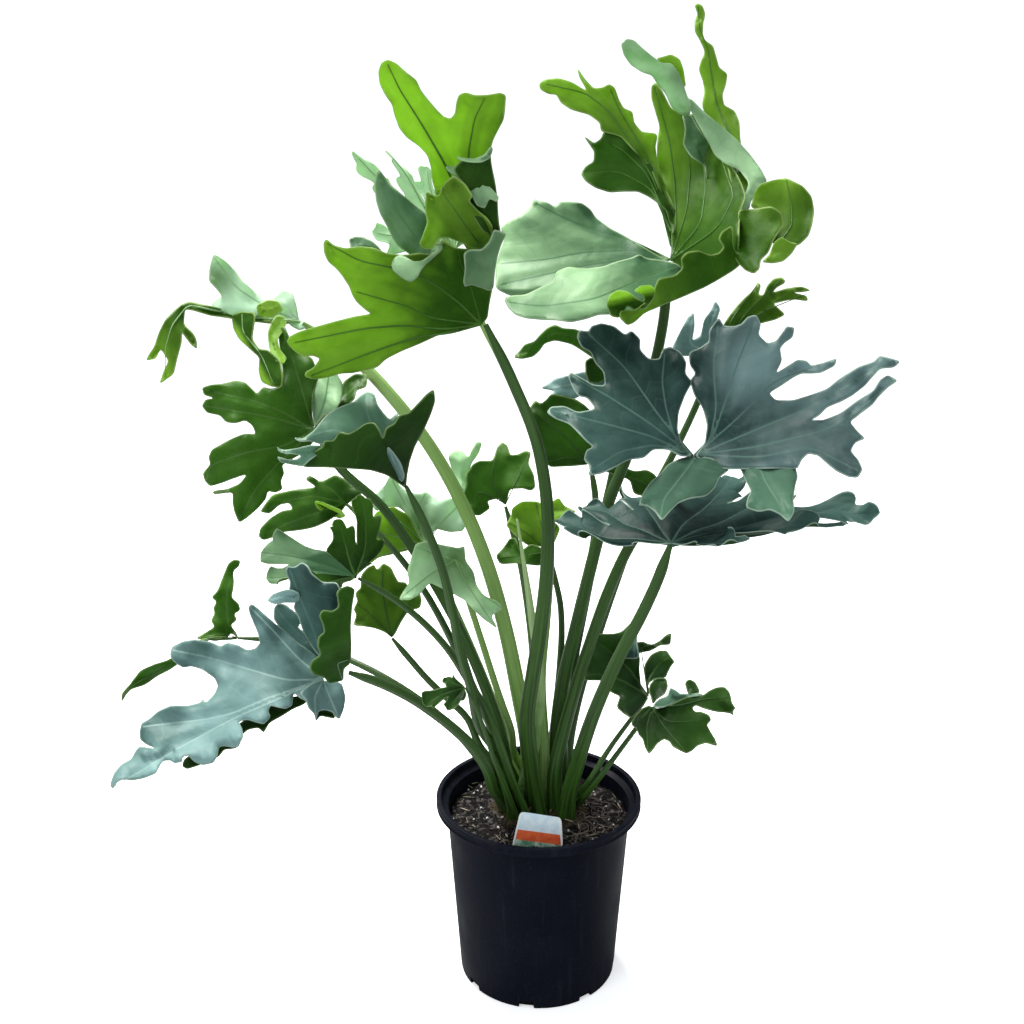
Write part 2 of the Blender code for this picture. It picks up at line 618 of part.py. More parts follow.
def build_pot(group, cutters):
    """The pot, turned from one closed outline, with notches cut through the foot of its wall."""
    inner_base = BASE_RADIUS - POT_WALL
    inner_top = WALL_TOP_RADIUS - POT_WALL
    lip_foot = POT_HEIGHT - LIP_HEIGHT
    outline = [
        (0.0, POT_FLOOR), (inner_base, POT_FLOOR), (inner_top, lip_foot),
        (RIM_RADIUS - LIP_WIDTH, POT_HEIGHT - LIP_ROUND / 2), (RIM_RADIUS - LIP_WIDTH * 0.7, POT_HEIGHT),
        (RIM_RADIUS - LIP_ROUND / 2, POT_HEIGHT - LIP_ROUND / 5), (RIM_RADIUS, POT_HEIGHT - LIP_ROUND),
        (RIM_RADIUS, lip_foot + LIP_ROUND / 5), (RIM_RADIUS - POT_WALL, lip_foot),
        (WALL_TOP_RADIUS, lip_foot - LIP_ROUND), (BASE_RADIUS, LIP_ROUND),
        (BASE_RADIUS - LIP_ROUND, 0.0), (0.0, 0.0),
    ]
    pot = turned("pot", outline, group)
    for k in range(DRAIN_NOTCHES):
        angle = FIRST_NOTCH + k * 2 * math.pi / DRAIN_NOTCHES
        bpy.ops.mesh.primitive_cube_add(size=1)
        cutter = bpy.context.active_object
        cutter.name = f"notch_{k}"
        cutter.scale = (NOTCH_DEPTH * 2, NOTCH_WIDTH, NOTCH_HEIGHT * 2)
        cutter.rotation_euler.z = angle
        cutter.location = (BASE_RADIUS * math.cos(angle), BASE_RADIUS * math.sin(angle), 0)
        cutter.hide_render = True
        cutter.display_type = "WIRE"
        for old in list(cutter.users_collection):
            old.objects.unlink(cutter)
        cutters.objects.link(cutter)
        cut = pot.modifiers.new(f"notch_{k}", "BOOLEAN")
        cut.operation = "DIFFERENCE"
        cut.solver = "EXACT"
        cut.object = cutter
    dress(pot, "pot")


def build_mix(group):
    floor = POT_FLOOR + SEAT
    wall = (WALL_TOP_RADIUS - BASE_RADIUS) / (POT_HEIGHT - LIP_HEIGHT - POT_FLOOR)
    low = BASE_RADIUS - POT_WALL - SEAT
    high = low + wall * (MIX_LEVEL - POT_FLOOR)
    outline = [(0.0, MIX_LEVEL), (MIX_FLAT, MIX_LEVEL), (high * 0.9, MIX_LEVEL + MIX_DOME),
               (high, MIX_LEVEL - MIX_DOME / 2), (low, floor), (0.0, floor)]
    mix = turned("potting_mix", outline, group)
    dress(mix, "mix")


def build_crown(group):
    low = MIX_LEVEL + SEAT
    top = MIX_LEVEL + CROWN_RISE
    outline = [(0.0, top), (CROWN_RADIUS - CROWN_ROUND, top), (CROWN_RADIUS, top - CROWN_ROUND),
               (CROWN_RADIUS + CROWN_ROUND, low), (0.0, low)]
    crown = turned("crown", outline, group)
    crown.location = (*CROWN_AT, 0)
    dress(crown, "crown")


def build_label(group):
    """A plain tapered label that stands on the mix and leans back a little."""
    points = [(right, back, up) for back in (-LABEL_THICK / 2, LABEL_THICK / 2)
              for right, up in LABEL_CORNERS]
    faces = [(0, 1, 2, 3), (7, 6, 5, 4), (0, 4, 5, 1), (1, 5, 6, 2), (2, 6, 7, 3), (3, 7, 4, 0)]
    label = mesh_object("plant_label", points, faces, group)
    label.data.shade_flat()
    label.rotation_euler = (LABEL_LEAN, 0, 0)
    label.location = (*LABEL_AT, MIX_LEVEL + LABEL_LIFT)
    dress(label, "label")


def build_plant(group):
    lines = stalk_lines()
    for name, one in LEAVES.items():
        points, faces = blade_sheet(one, BLADE_ROWS)
        blade = mesh_object(f"leaf_{name}", points, faces, group)
        skin = blade.modifiers.new("thickness", "SOLIDIFY")
        skin.thickness = BLADE_THICK
        skin.offset = 0.0
        dress(blade, one["tone"])
        sheet = BVHTree.FromPolygons([Vector(p) for p in points], faces)
        line = trimmed(lines[name], one["stem"], sheet)
        radii = [stalk_radius(one["stem"], t) for t in np.linspace(0, 1, len(line))]
        stalk = tube(f"stalk_{name}", lifted(line, radii[0]), radii, group)
        dress(stalk, "stalk")
    line = lines["spear"]
    radii = np.interp(np.linspace(0, 3, len(line)), range(4), SPEAR_RADII) / 1000
    spear = tube("new_leaf_spear", lifted(line, radii[0]), radii, group)
    dress(spear, "pale")


def main():
    clear_scene()
    group = new_collection("split_leaf_philodendron")
    cutters = new_collection("cutters")
    build_pot(group, cutters)
    build_mix(group)
    build_crown(group)
    build_label(group)
    build_plant(group)


main()
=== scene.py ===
"""The looks of a split-leaf philodendron in a nursery pot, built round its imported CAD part.

Metres, +Z up. The pot's axis is the Z axis. As in the CAD part, the leaves are placed from one
viewpoint in front of the pot: every point of a leaf is a spot with the picture's right and down
pixels and its distance in metres behind the pot's axis.
"""

import json
import math
import random

import bmesh
import bpy
import numpy as np
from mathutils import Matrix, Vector, geometry, noise

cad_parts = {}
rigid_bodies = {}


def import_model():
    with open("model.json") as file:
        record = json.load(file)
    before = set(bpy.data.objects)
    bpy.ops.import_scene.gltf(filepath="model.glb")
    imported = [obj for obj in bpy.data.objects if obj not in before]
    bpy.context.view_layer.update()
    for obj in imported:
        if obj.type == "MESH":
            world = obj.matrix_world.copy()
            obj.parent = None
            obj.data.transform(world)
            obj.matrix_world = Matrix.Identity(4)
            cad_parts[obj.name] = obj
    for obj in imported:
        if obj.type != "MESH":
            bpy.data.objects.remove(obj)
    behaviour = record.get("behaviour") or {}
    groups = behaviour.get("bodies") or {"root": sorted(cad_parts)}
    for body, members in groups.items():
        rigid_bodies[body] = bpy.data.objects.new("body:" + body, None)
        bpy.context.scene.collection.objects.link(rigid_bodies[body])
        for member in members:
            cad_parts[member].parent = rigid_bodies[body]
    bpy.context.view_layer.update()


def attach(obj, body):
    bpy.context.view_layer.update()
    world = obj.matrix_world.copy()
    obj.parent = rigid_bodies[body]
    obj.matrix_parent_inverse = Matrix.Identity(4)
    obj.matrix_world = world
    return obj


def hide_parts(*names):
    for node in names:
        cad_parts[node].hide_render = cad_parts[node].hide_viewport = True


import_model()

# Pot, mix, crown and label, as in the CAD part
POT_HEIGHT = 0.190
RIM_RADIUS = 0.100
LIP_HEIGHT = 0.009
WALL_TOP_RADIUS = 0.0897
BASE_RADIUS = 0.0777
POT_WALL = 0.0016
POT_FLOOR = 0.0022
WALL_SLOPE = (WALL_TOP_RADIUS - BASE_RADIUS) / (POT_HEIGHT - LIP_HEIGHT)
DRAIN_NOTCHES = 8
NOTCH_WIDTH = 0.017
NOTCH_HEIGHT = 0.008
NOTCH_DEPTH = 0.009
FIRST_NOTCH = math.radians(-99)
MIX_LEVEL = 0.168
CROWN_AT = (0.001, 0.013)
CROWN_RADIUS = 0.048
CROWN_RISE = 0.005
LABEL_CORNERS = ((-0.0241, 0.0), (0.0241, 0.0), (0.0224, 0.0290), (-0.0162, 0.0350))
LABEL_ROUNDING = 0.0045
LABEL_AT = (-0.0022, -0.0625)
LABEL_THICK = 0.0009
LABEL_LIFT = 0.0009
LABEL_LEAN = math.radians(-10)

# Leaves and stalks, as in the CAD part
STALK_POINTS = 10
STALK_GAP = 0.0012
SEAT = 0.0004
STALK_SAMPLES = 8
RELAX_ROUNDS = 160
RELAX_SHARE = 0.6
LOBE_CUP = 0.16
LOBE_FULL = 0.92
LOBE_SPACE = 0.49

# What only the looks have
BLADE_THICK = 0.0006
WEB_FOLD = 0.12
VEIN_SWAY = 0.13
LOBE_LEAN = 0.42
TOOTH_PITCH = 0.013
TOOTH_PITCH_SHARE = 0.085
CURL = (-0.55, 0.75)
SLOW_WAVE = 0.009
SHINGLE = 0.09
SINUS_OPENS = 0.35
SIDE_VEIN_SHIFT = 0.006
STALK_ROWS = 64
STALK_SUNK = 0.008
CROWN_OVERLAP = 1.04
ROOT_COUNT = 34
ROOT_HOP = 0.0022
ROOT_LIMIT = 0.083
LOOSE_RADIUS = 0.0855

# For each tone of a leaf with lobes: how deep its secondary lobes are cut, how much its margin
# ruffles, and how much a lobe's halves curl
MARGINS = {"green": (0.50, 0.85, 1.0), "blue": (0.55, 0.95, 0.7), "dark": (0.48, 0.75, 1.0),
           "pale": (0.45, 0.90, 1.0)}

# The ribs under a blade, and the veins drawn on it
RIB_SHARE = 0.0085
RIB_TIP = 0.00022
RIB_MOST = 0.0011
RIB_CLEAR = {"upper": BLADE_THICK + 0.0003, "under": -0.0002}
SIDE_VEIN_SPACING = 0.015

# For the blades that are traced by their outline. The pitches are in the picture's pixels, a pixel
# is PIXEL wide where the plant stands, and a ruffle's waves are turns per metre, start and height
PIXEL = 0.00087
CORNER_CUT = 0.13
EDGE_PITCH = 2.4
VEIN_PITCH = 2.0
INNER_ROWS = 14
INNER_PITCH = (1.2, EDGE_PITCH * 1.2)
VEIN_MARGIN = 0.8
EDGE_MARGIN = 0.6
DEPTH_SLACK = 0.006
SHEET_SHARE = 0.55
NO_VEIN = 0.02
SWELL_HEIGHT = 0.0045
SWELL_WIDTH = 0.009
SWELL_FADE = 0.006
RUFFLE_HEIGHT = 0.0035
RUFFLE_WIDTH = 0.020
RUFFLE_WAVES = ((190, 0.0, 1.0), (97, 1.7, 0.6))

# The viewpoint that the leaves' spots are read from
EYE = np.array((-0.026, -1.100, 0.823))
PITCH = math.radians(17.37)
FOCAL_PIXELS = 1264.0
PICTURE_PIXELS = 1024.0
SENSOR = 36.0
AHEAD = np.array((0.0, math.cos(PITCH), -math.sin(PITCH)))
ABOVE = np.array((0.0, math.sin(PITCH), math.cos(PITCH)))
ACROSS = np.array((1.0, 0.0, 0.0))


def unit(v):
    return v / np.linalg.norm(v, axis=-1, keepdims=True)


def square_to(v, axis):
    return unit(v - axis * np.sum(v * axis, axis=-1, keepdims=True))


def ease(x):
    x = np.clip(x, 0.0, 1.0)
    return x * x * (3 - 2 * x)


def spot(right, down, behind):
    """The point `behind` metres behind the pot's axis that the viewpoint sees at a pixel."""
    ray = (AHEAD + ACROSS * (right - PICTURE_PIXELS / 2) / FOCAL_PIXELS
           + ABOVE * (PICTURE_PIXELS / 2 - down) / FOCAL_PIXELS)
    return EYE + ray * (behind - EYE[1]) / ray[1]


def along_line(points):
    """How far along the line each of its points is."""
    return np.concatenate([[0], np.cumsum(np.linalg.norm(np.diff(points, axis=0), axis=1))])


def at_places(line, far, places):
    """The points of the line at these places along it."""
    return np.stack([np.interp(places, far, line[:, axis]) for axis in range(line.shape[1])], axis=1)


def through(points, count):
    """A smooth curve through the points, as `count` points evenly spaced along it."""
    p = np.array([2 * points[0] - points[1], *points, 2 * points[-1] - points[-2]])
    dense = []
    for a, b, c, d in zip(p, p[1:], p[2:], p[3:]):
        for u in np.linspace(0, 1, 16, endpoint=False):
            dense.append(b + (c - a) * u / 2 + (2 * a - 5 * b + 4 * c - d) * u * u / 2
                         + (3 * b - a - 3 * c + d) * u ** 3 / 2)
    dense = np.array([*dense, p[-2]])
    far = along_line(dense)
    return at_places(dense, far, np.linspace(0, far[-1], count))


def linked(name, data):
    """A new object with this data, in the scene."""
    thing = bpy.data.objects.new(name, data)
    bpy.context.scene.collection.objects.link(thing)
    return thing


def mesh_object(name, points, faces, numbers=None, slots=None):
    """A mesh with its doubled points joined, and one named number on each point."""
    mesh = bpy.data.meshes.new(name)
    mesh.from_pydata([tuple(p) for p in points], [], faces)
    if slots:
        mesh.polygons.foreach_set("material_index", slots)
    for key, values in (numbers or {}).items():
        mesh.attributes.new(key, "FLOAT", "POINT").data.foreach_set("value", np.float32(values))
    shape = bmesh.new()
    shape.from_mesh(mesh)
    bmesh.ops.remove_doubles(shape, verts=shape.verts, dist=2e-6)
    shape.to_mesh(mesh)
    shape.free()
    mesh.shade_smooth()
    return linked(name, mesh)


def settled(piece):
    """The piece as one plain mesh at the origin, with its modifiers and its place worked in."""
    bpy.context.view_layer.update()
    evaluated = piece.evaluated_get(bpy.context.evaluated_depsgraph_get())
    mesh = bpy.data.meshes.new_from_object(evaluated)
    mesh.transform(piece.matrix_world)
    name = piece.name
    piece.name = name + "_source"
    bpy.data.objects.remove(piece)
    return linked(name, mesh)


def thickened(sheet, thick=BLADE_THICK, offset=-1.0):
    """The sheet with its thickness; its second and third materials go to its back and its rim."""
    skin = sheet.modifiers.new("thickness", "SOLIDIFY")
    skin.thickness = thick
    skin.offset = offset
    skin.material_offset = 1
    skin.material_offset_rim = 2
    return settled(sheet)


def merged(name, pieces):
    """Several meshes as one object, each keeping its own material."""
    with bpy.context.temp_override(active_object=pieces[0], selected_editable_objects=pieces):
        bpy.ops.object.join()
    pieces[0].name = name
    return pieces[0]


def belongs(piece, slot, *nodes):
    """The piece rides on the part's one body and stands for these CAD nodes; its slot is not used."""
    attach(piece, "root")
    if nodes:
        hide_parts(*nodes)


# Node building


class Nodes:
    """Short ways to add nodes to a tree and to join them up."""

    def __init__(self, tree):
        self.tree = tree

    def feed(self, node, values):
        """Set the node's inputs to numbers, or join them to other nodes' outputs."""
        for key, value in values.items():
            if isinstance(value, bpy.types.NodeSocket):
                self.tree.links.new(value, node.inputs[key])
            else:
                node.inputs[key].default_value = value

    def add(self, kind, values=None, **settings):
        node = self.tree.nodes.new(kind)
        for key, value in settings.items():
            setattr(node, key, value)
        self.feed(node, values or {})
        return node

    def maths(self, how, *values):
        return self.add("ShaderNodeMath", dict(enumerate(values)), operation=how).outputs[0]

    def times(self, a, b):
        return self.maths("MULTIPLY", a, b)

    def plus(self, a, b):
        return self.maths("ADD", a, b)

    def minus(self, a, b):
        return self.maths("SUBTRACT", a, b)

    def vector(self, x=0.0, y=0.0, z=0.0):
        return self.add("ShaderNodeCombineXYZ", {0: x, 1: y, 2: z}).outputs[0]

    def parts(self, vector):
        return self.add("ShaderNodeSeparateXYZ", {0: vector}).outputs

    def ramp(self, value, start, end):
        """Rises smoothly from 0 at start to 1 at end, or falls where end is the lower."""
        falls = start > end
        values = {"Value": value, "From Min": min(start, end), "From Max": max(start, end),
                  "To Min": float(falls), "To Max": float(not falls)}
        return self.add("ShaderNodeMapRange", values, interpolation_type="SMOOTHSTEP").outputs["Result"]

    def mix(self, share, a, b):
        """Colour a with colour b laid on it by the share."""
        a, b = (c if isinstance(c, bpy.types.NodeSocket) else (*c, 1) for c in (a, b))
        return self.add("ShaderNodeMix", {0: share, 6: a, 7: b}, data_type="RGBA").outputs[2]

    def layered(self, body, *layers):
        """The colour with others laid over it in turn, each by its mask and the most it covers."""
        for mask, most, colour in layers:
            body = self.mix(self.times(mask, most), body, colour)
        return body

    def number(self, name):
        return self.add("ShaderNodeAttribute", attribute_name=name).outputs["Fac"]

    def grain(self, vector, scale, detail):
        values = {"Vector": vector, "Scale": scale, "Detail": detail, "Roughness": 0.55}
        return self.add("ShaderNodeTexNoise", values).outputs["Fac"]

    def place(self):
        return self.add("ShaderNodeTexCoord").outputs["Object"]

    def squashed(self, vector, scale):
        return self.add("ShaderNodeMapping", {"Vector": vector, "Scale": scale}).outputs[0]

    def bump(self, height, strength, distance):
        values = {"Height": height, "Strength": strength, "Distance": distance}
        return self.add("ShaderNodeBump", values).outputs[0]

    def group(self, tree, values):
        return self.add("ShaderNodeGroup", values, node_tree=tree).outputs

    def mottle(self, patch_size, grain_size):
        return self.group(MOTTLE, {"Patch Size": patch_size, "Grain Size": grain_size})

    def marked(self, shape, name, value, data_type="FLOAT", domain="POINT"):
        """The geometry with a named value on each of its points, or on each copy."""
        node = self.add("GeometryNodeStoreNamedAttribute", data_type=data_type, domain=domain)
        self.feed(node, {"Geometry": shape, "Name": name, "Value": value})
        return node.outputs[0]

    def finished(self, shape, finish, out, label):
        """Make the copies real, set their finish and give them out: the end of a geometry tree."""
        whole = self.add("GeometryNodeRealizeInstances", {0: shape}).outputs[0]
        clad = self.add("GeometryNodeSetMaterial", {"Geometry": whole, "Material": finish}).outputs[0]
        self.feed(out, {label: clad})
        return self.tree


NUMBER, WHOLE, SHAPE = "NodeSocketFloat", "NodeSocketInt", "NodeSocketGeometry"
FINISH, BITS = "NodeSocketMaterial", "NodeSocketCollection"


def new_group(name, kind, inputs, outputs):
    """A node group with named inputs and outputs, each given with its socket type."""
    tree = bpy.data.node_groups.new(name, kind)
    for way, sockets in (("INPUT", inputs), ("OUTPUT", outputs)):
        for label, socket_type in sockets.items():
            tree.interface.new_socket(label, in_out=way, socket_type=socket_type)
    return Nodes(tree), tree.nodes.new("NodeGroupInput").outputs, tree.nodes.new("NodeGroupOutput")


def new_material(name):
    """A material, its nodes, its Principled shader and its output."""
    material = bpy.data.materials.new(name)
    material.use_nodes = True
    tree = material.node_tree
    return material, Nodes(tree), tree.nodes["Principled BSDF"], tree.nodes["Material Output"]


def vein_marks_group():
    """Where a blade's veins and its margin lie, how its surface swells between them, and streaky folds that
    give both a bump and painted fold shade.
    """
    n, given, out = new_group("Vein Marks", "ShaderNodeTree",
                              dict.fromkeys(("Side Vein Spacing", "Main Vein Width"), NUMBER),
                              dict.fromkeys(("Main Vein", "Side Vein", "Margin", "Swell", "Folds"), NUMBER))
    across, along, share, margin = (n.number(name) for name in ("across", "along", "share", "margin"))
    sweep = n.plus(n.times(across, 0.75), n.times(n.times(across, across), 7.0))
    turns = n.maths("DIVIDE", n.minus(along, sweep), given["Side Vein Spacing"])
    turns = n.plus(turns, n.times(n.grain(n.place(), 38.0, 1.0), 1.3))
    wave = n.maths("COSINE", n.times(turns, math.tau))
    fade = n.ramp(margin, 0.0015, 0.009)
    width = n.times(given["Main Vein Width"], n.minus(1.0, n.times(share, 0.65)))
    main = n.minus(1.0, n.ramp(n.maths("DIVIDE", across, width), 0.35, 1.0))
    swell = n.minus(n.times(n.minus(0.0, wave), fade), n.times(main, 1.2))
    # Streaky folds along the veins: a bump, and painted shade in the blade's colour
    stretched = n.vector(n.times(across, 62.0), n.times(along, 11.0), n.number("fold"))
    n.feed(out, {"Main Vein": main, "Side Vein": n.times(n.ramp(wave, 0.90, 0.995), fade),
                 "Margin": n.ramp(margin, 0.0014, 0.0005), "Swell": swell,
                 "Folds": n.ramp(n.grain(stretched, 1.0, 2.0), 0.36, 0.64)})
    return n.tree


def mottle_group():
    """Soft patches and a fine grain over a living surface."""
    n, given, out = new_group("Mottle", "ShaderNodeTree", dict.fromkeys(("Patch Size", "Grain Size"), NUMBER),
                              dict.fromkeys(("Patches", "Grain"), NUMBER))
    place = n.place()
    patches = n.grain(place, n.maths("DIVIDE", 1.0, given["Patch Size"]), 3.0)
    fine = n.grain(place, n.maths("DIVIDE", 1.0, given["Grain Size"]), 2.0)
    n.feed(out, {"Patches": n.ramp(patches, 0.36, 0.64), "Grain": fine})
    return n.tree


def blade_finish(name, deep, light, vein, rim, roughness, through_light, glow, vein_width, gloss=0.0):
    """One face of a leaf blade: patchy green with painted light and shade, painted lighter towards the tips
    and streaked with painted fold shade, paler veins and margin, and light coming through.
    """
    material, n, shader, output = new_material(name)
    marks = n.group(VEIN_MARKS, {"Side Vein Spacing": SIDE_VEIN_SPACING, "Main Vein Width": vein_width})
    mottle = n.mottle(0.035, 0.0022)
    # Painted light and shade: lighter towards the tips, each spot's or lobe's value, and streaks of painted
    # fold shade
    outward = n.times(n.ramp(n.number("share"), 0.15, 0.95), 0.85)
    painted_light_and_patches = n.plus(n.times(mottle["Patches"], 0.16), n.number("tint"))
    painted_light_and_patches = n.plus(n.minus(painted_light_and_patches, 0.585), outward)
    painted_light_and_patches = n.plus(painted_light_and_patches, n.times(marks["Folds"], 0.16))
    body = n.layered(n.mix(painted_light_and_patches, deep, light), (mottle["Grain"], 0.12, light),
                     (marks["Side Vein"], 0.13, vein), (marks["Main Vein"], 0.75, vein),
                     (marks["Margin"], 0.75, rim))
    height = n.plus(n.times(marks["Swell"], 0.05), n.times(mottle["Grain"], 0.10))
    height = n.plus(height, n.times(marks["Folds"], 0.16))
    n.feed(shader, {"Base Color": body, "Roughness": n.plus(roughness - 0.05, n.times(mottle["Grain"], 0.12)),
                    "Specular IOR Level": 0.08, "Coat Weight": gloss, "Coat Roughness": 0.32,
                    "Normal": n.bump(height, 0.8, 0.0024)})
    seen_through = n.mix(n.times(marks["Main Vein"], 0.5), n.mix(painted_light_and_patches, deep, glow), deep)
    thin = n.add("ShaderNodeBsdfTranslucent", {"Color": seen_through})
    both = n.add("ShaderNodeMixShader", {0: through_light, 1: shader.outputs[0], 2: thin.outputs[0]})
    n.feed(output, {"Surface": both.outputs[0]})
    return material


def stem_finish(name, deep, light, pale, roughness):
    """A stalk or rib: green, streaked lengthwise, paler towards its top."""
    material, n, shader, _ = new_material(name)
    parts = n.parts(n.add("ShaderNodeAttribute", attribute_name="around").outputs["Vector"])
    stretched = n.vector(parts[0], parts[1], n.times(n.number("far"), 4.0))
    streaks = n.ramp(n.grain(stretched, 2.6, 4.0), 0.34, 0.66)
    mottle = n.mottle(0.03, 0.0018)
    body = n.layered(n.mix(streaks, deep, light), (n.ramp(n.number("share"), 0.15, 0.95), 0.55, pale),
                     (mottle["Patches"], 0.2, pale))
    height = n.plus(streaks, n.times(mottle["Grain"], 0.5))
    n.feed(shader, {"Base Color": body, "Roughness": roughness, "Specular IOR Level": 0.3,
                    "Normal": n.bump(height, 0.5, 0.0004)})
    return material


# Leaves


def lobe(half_width, web, *spots, tone=None, painted_light_and_tone=None, cut=None):
    """One lobe: half its width in mm, the share of its vein that is joined to the next lobe, the
    spots that its vein runs through, its tip last, and its value from 0, deep, to 1, light, which
    paints light and shade on the lobe along with its tone."""
    return dict(half_width=half_width / 1000, web=web, spots=spots, tone=tone, painted_light_and_tone=painted_light_and_tone, cut=cut)


def leaf(tone, joint, foot, stem, route, lobes=()):
    """One leaf: the spot where stalk and blade meet, the stalk's foot in mm, its radius in mm at
    the blade and at the foot, the spots it runs through, and its lobes in turn round the joint."""
    return dict(tone=tone, joint=joint, foot=foot, stem=stem, route=route, lobes=lobes)


# A lobe's last value paints light and shade on it, along with its tone
LEAVES = {
    "top_left": leaf("lime", (484, 321, -.03), (-2, -6), (4.4, 8.5), [
        (512, 380, -.04), (540, 455, -.06), (548, 540, -.065), (539, 640, -.05), (527, 720, -.03),
    ]),
    "top_right": leaf("lime", (669, 260, .05), (15, 18), (4.4, 7.8), [
        (664, 318, .06), (640, 420, .065), (606, 510, .055), (583, 600, .04), (560, 700, .015),
    ]),
    "right_wide": leaf("blue", (694, 455, -.07), (14, 2), (4.2, 7.2), [
        (660, 500, -.03), (622, 560, .0), (598, 620, .0), (572, 700, .0), (555, 770, -.005),
    ]),
    "right_low": leaf("blue", (671, 543, -.13), (24, -9), (4.5, 8.0), [
        (650, 598, -.115), (615, 665, -.09), (588, 730, -.065),
    ], [
        lobe(12, .50, (705, 545, -.13), (750, 536, -.14), painted_light_and_tone=.10),
        lobe(14, .66, (745, 535, -.10), (795, 527, -.11), (846, 524, -.12), painted_light_and_tone=.20),
        lobe(17, .66, (760, 525, -.07), (830, 510, -.05), (880, 512, -.08), painted_light_and_tone=.30),
        lobe(20, .62, (735, 515, -.05), (790, 492, .01), painted_light_and_tone=.15),
        lobe(22, .62, (700, 508, -.05), (730, 478, .04), painted_light_and_tone=.15),
        lobe(20, .60, (650, 515, -.06), (625, 498, .01), painted_light_and_tone=.35),
        lobe(18, .60, (625, 522, -.08), (580, 508, -.03), painted_light_and_tone=.30),
        lobe(20, .55, (610, 535, -.10), (555, 522, -.07), painted_light_and_tone=.15),
    ]),
    "mid_left": leaf("green", (405, 484, -.10), (-19, -6), (3.4, 6.0), [
        (425, 525, -.09), (447, 585, -.08), (460, 650, -.07), (487, 735, -.045),
    ]),
    "left_dark": leaf("dark", (313, 429, .02), (-25, 19), (4.0, 6.0), [
        (340, 468, .03), (374, 497, .03), (420, 560, .03), (465, 640, .01), (500, 730, -.01),
    ]),
    "far_left_top": leaf("pale", (300, 322, .12), (-10, 18), (5.4, 8.5), [
        (345, 350, .11), (405, 412, .07), (447, 475, .05), (482, 550, .03), (508, 640, .015),
        (524, 730, .005),
    ]),
    "far_left_low": leaf("green", (236, 638, .08), (-34, 9), (2.6, 4.5), [
        (300, 643, .07), (350, 660, .04), (405, 690, .01), (455, 730, -.01), (490, 775, -.02),
    ]),
    "left_low": leaf("mist", (347, 672, -.10), (-31, -2), (4.0, 6.0), [
        (400, 692, -.09), (455, 730, -.07), (495, 775, -.05),
    ]),
    "left_pale": leaf("green", (356, 577, -.05), (-11, -20), (2.8, 4.5), [
        (404, 606, -.05), (450, 652, -.05), (485, 715, -.045), (503, 770, -.045),
    ], [
        lobe(17, .50, (365, 545, -.02), (359, 494, .01)),
        lobe(12, .55, (345, 548, -.03), (334, 522, -.02)),
        lobe(24, .74, (310, 560, -.05), (261, 552, -.05), tone="sage", painted_light_and_tone=-.1, cut=.3),
        lobe(14, .60, (312, 572, -.06), (266, 578, -.07), tone="sage", painted_light_and_tone=-.15),
        lobe(16, .45, (335, 580, -.06), (318, 584, -.08)),
    ]),
    "left_inner": leaf("dark", (345, 503, .07), (-15, 28), (2.8, 4.5), [
        (385, 540, .035), (430, 600, .02), (470, 680, .015), (505, 760, .01),
    ]),
    "inner_low": leaf("dark", (391, 637, -.01), (-25, -14), (2.8, 4.2), [
        (430, 682, -.02), (470, 722, -.03), (500, 778, -.045),
    ]),
    "inner_pale": leaf("pale", (425, 545, .10), (-16, 38), (2.8, 4.5), [
        (462, 625, .08), (495, 705, .05),
    ]),
    "inner_pale_low": leaf("pale", (455, 560, -.015), (-4, 24), (2.8, 4.5), [
        (478, 630, -.015), (502, 705, -.01),
    ]),
    "back_mid": leaf("green", (505, 505, .20), (-3, 43), (3.4, 5.5), [
        (520, 560, .17), (532, 640, .12), (536, 720, .06),
    ]),
    "mid_bright": leaf("lime", (548, 552, .11), (8, 36), (2.8, 4.8), [
        (561, 610, .10), (559, 680, .07), (552, 740, .035),
    ]),
    "mid_dark": leaf("dark", (590, 462, .13), (26, 28), (3.2, 5.4), [
        (596, 520, .12), (582, 600, .09), (564, 690, .04),
    ]),
    "mid_back": leaf("green", (612, 375, .17), (14, 46), (3.2, 5.4), [
        (619, 430, .16), (602, 520, .14), (584, 610, .11), (566, 700, .06),
    ]),
    "right_back": leaf("green", (716, 352, .15), (28, 41), (3.2, 5.4), [
        (690, 420, .15), (640, 520, .14), (603, 620, .12), (572, 720, .06),
    ]),
    "top_back": leaf("pale", (455, 250, .16), (2, 10), (3.0, 6.0), [
        (466, 288, .175), (493, 345, .14), (522, 402, .11), (545, 472, .08), (550, 560, .06),
        (543, 650, .04), (538, 730, .01),
    ], [
        lobe(18, .50, (425, 262, .12), (395, 288, .10), painted_light_and_tone=.4),
        lobe(18, .55, (412, 238, .14), (372, 232, .12), painted_light_and_tone=1.0),
        lobe(12, .55, (405, 205, .16), (352, 152, .14), painted_light_and_tone=1.5),
        lobe(12, .55, (420, 200, .18), (385, 150, .19), painted_light_and_tone=1.5),
        lobe(16, .55, (438, 208, .20), (428, 168, .23), painted_light_and_tone=1.5),
        lobe(18, .50, (468, 220, .20), (475, 190, .23), painted_light_and_tone=.8),
    ]),
    "low_right_up": leaf("dark", (648, 697, .03), (37, 19), (2.0, 3.6), [
        (612, 745, .025), (590, 780, .01),
    ]),
    "low_right_down": leaf("dark", (652, 707, -.03), (36, 3), (2.0, 3.6), [
        (620, 750, -.03), (590, 790, -.025),
    ]),
    "small_low": leaf("dark", (465, 687, -.11), (-19, -21), (1.6, 2.8), [
        (478, 712, -.10), (496, 765, -.075),
    ], [
        lobe(8, .60, (456, 684, -.11), (446, 677, -.105)),
        lobe(13, .60, (448, 692, -.12), (426, 706, -.13)),
        lobe(8, .50, (458, 696, -.12), (448, 710, -.13)),
    ]),
}

# The rolled new leaf: its foot in mm, then the spots up to its tip and the radius in mm at each
SPEAR_FOOT = (-17, 6)
SPEAR_ROUTE = [(540, 700, -.01), (531, 610, .0), (517, 519, .01)]
SPEAR_RADII = (6.0, 5.5, 4.0, 1.0)
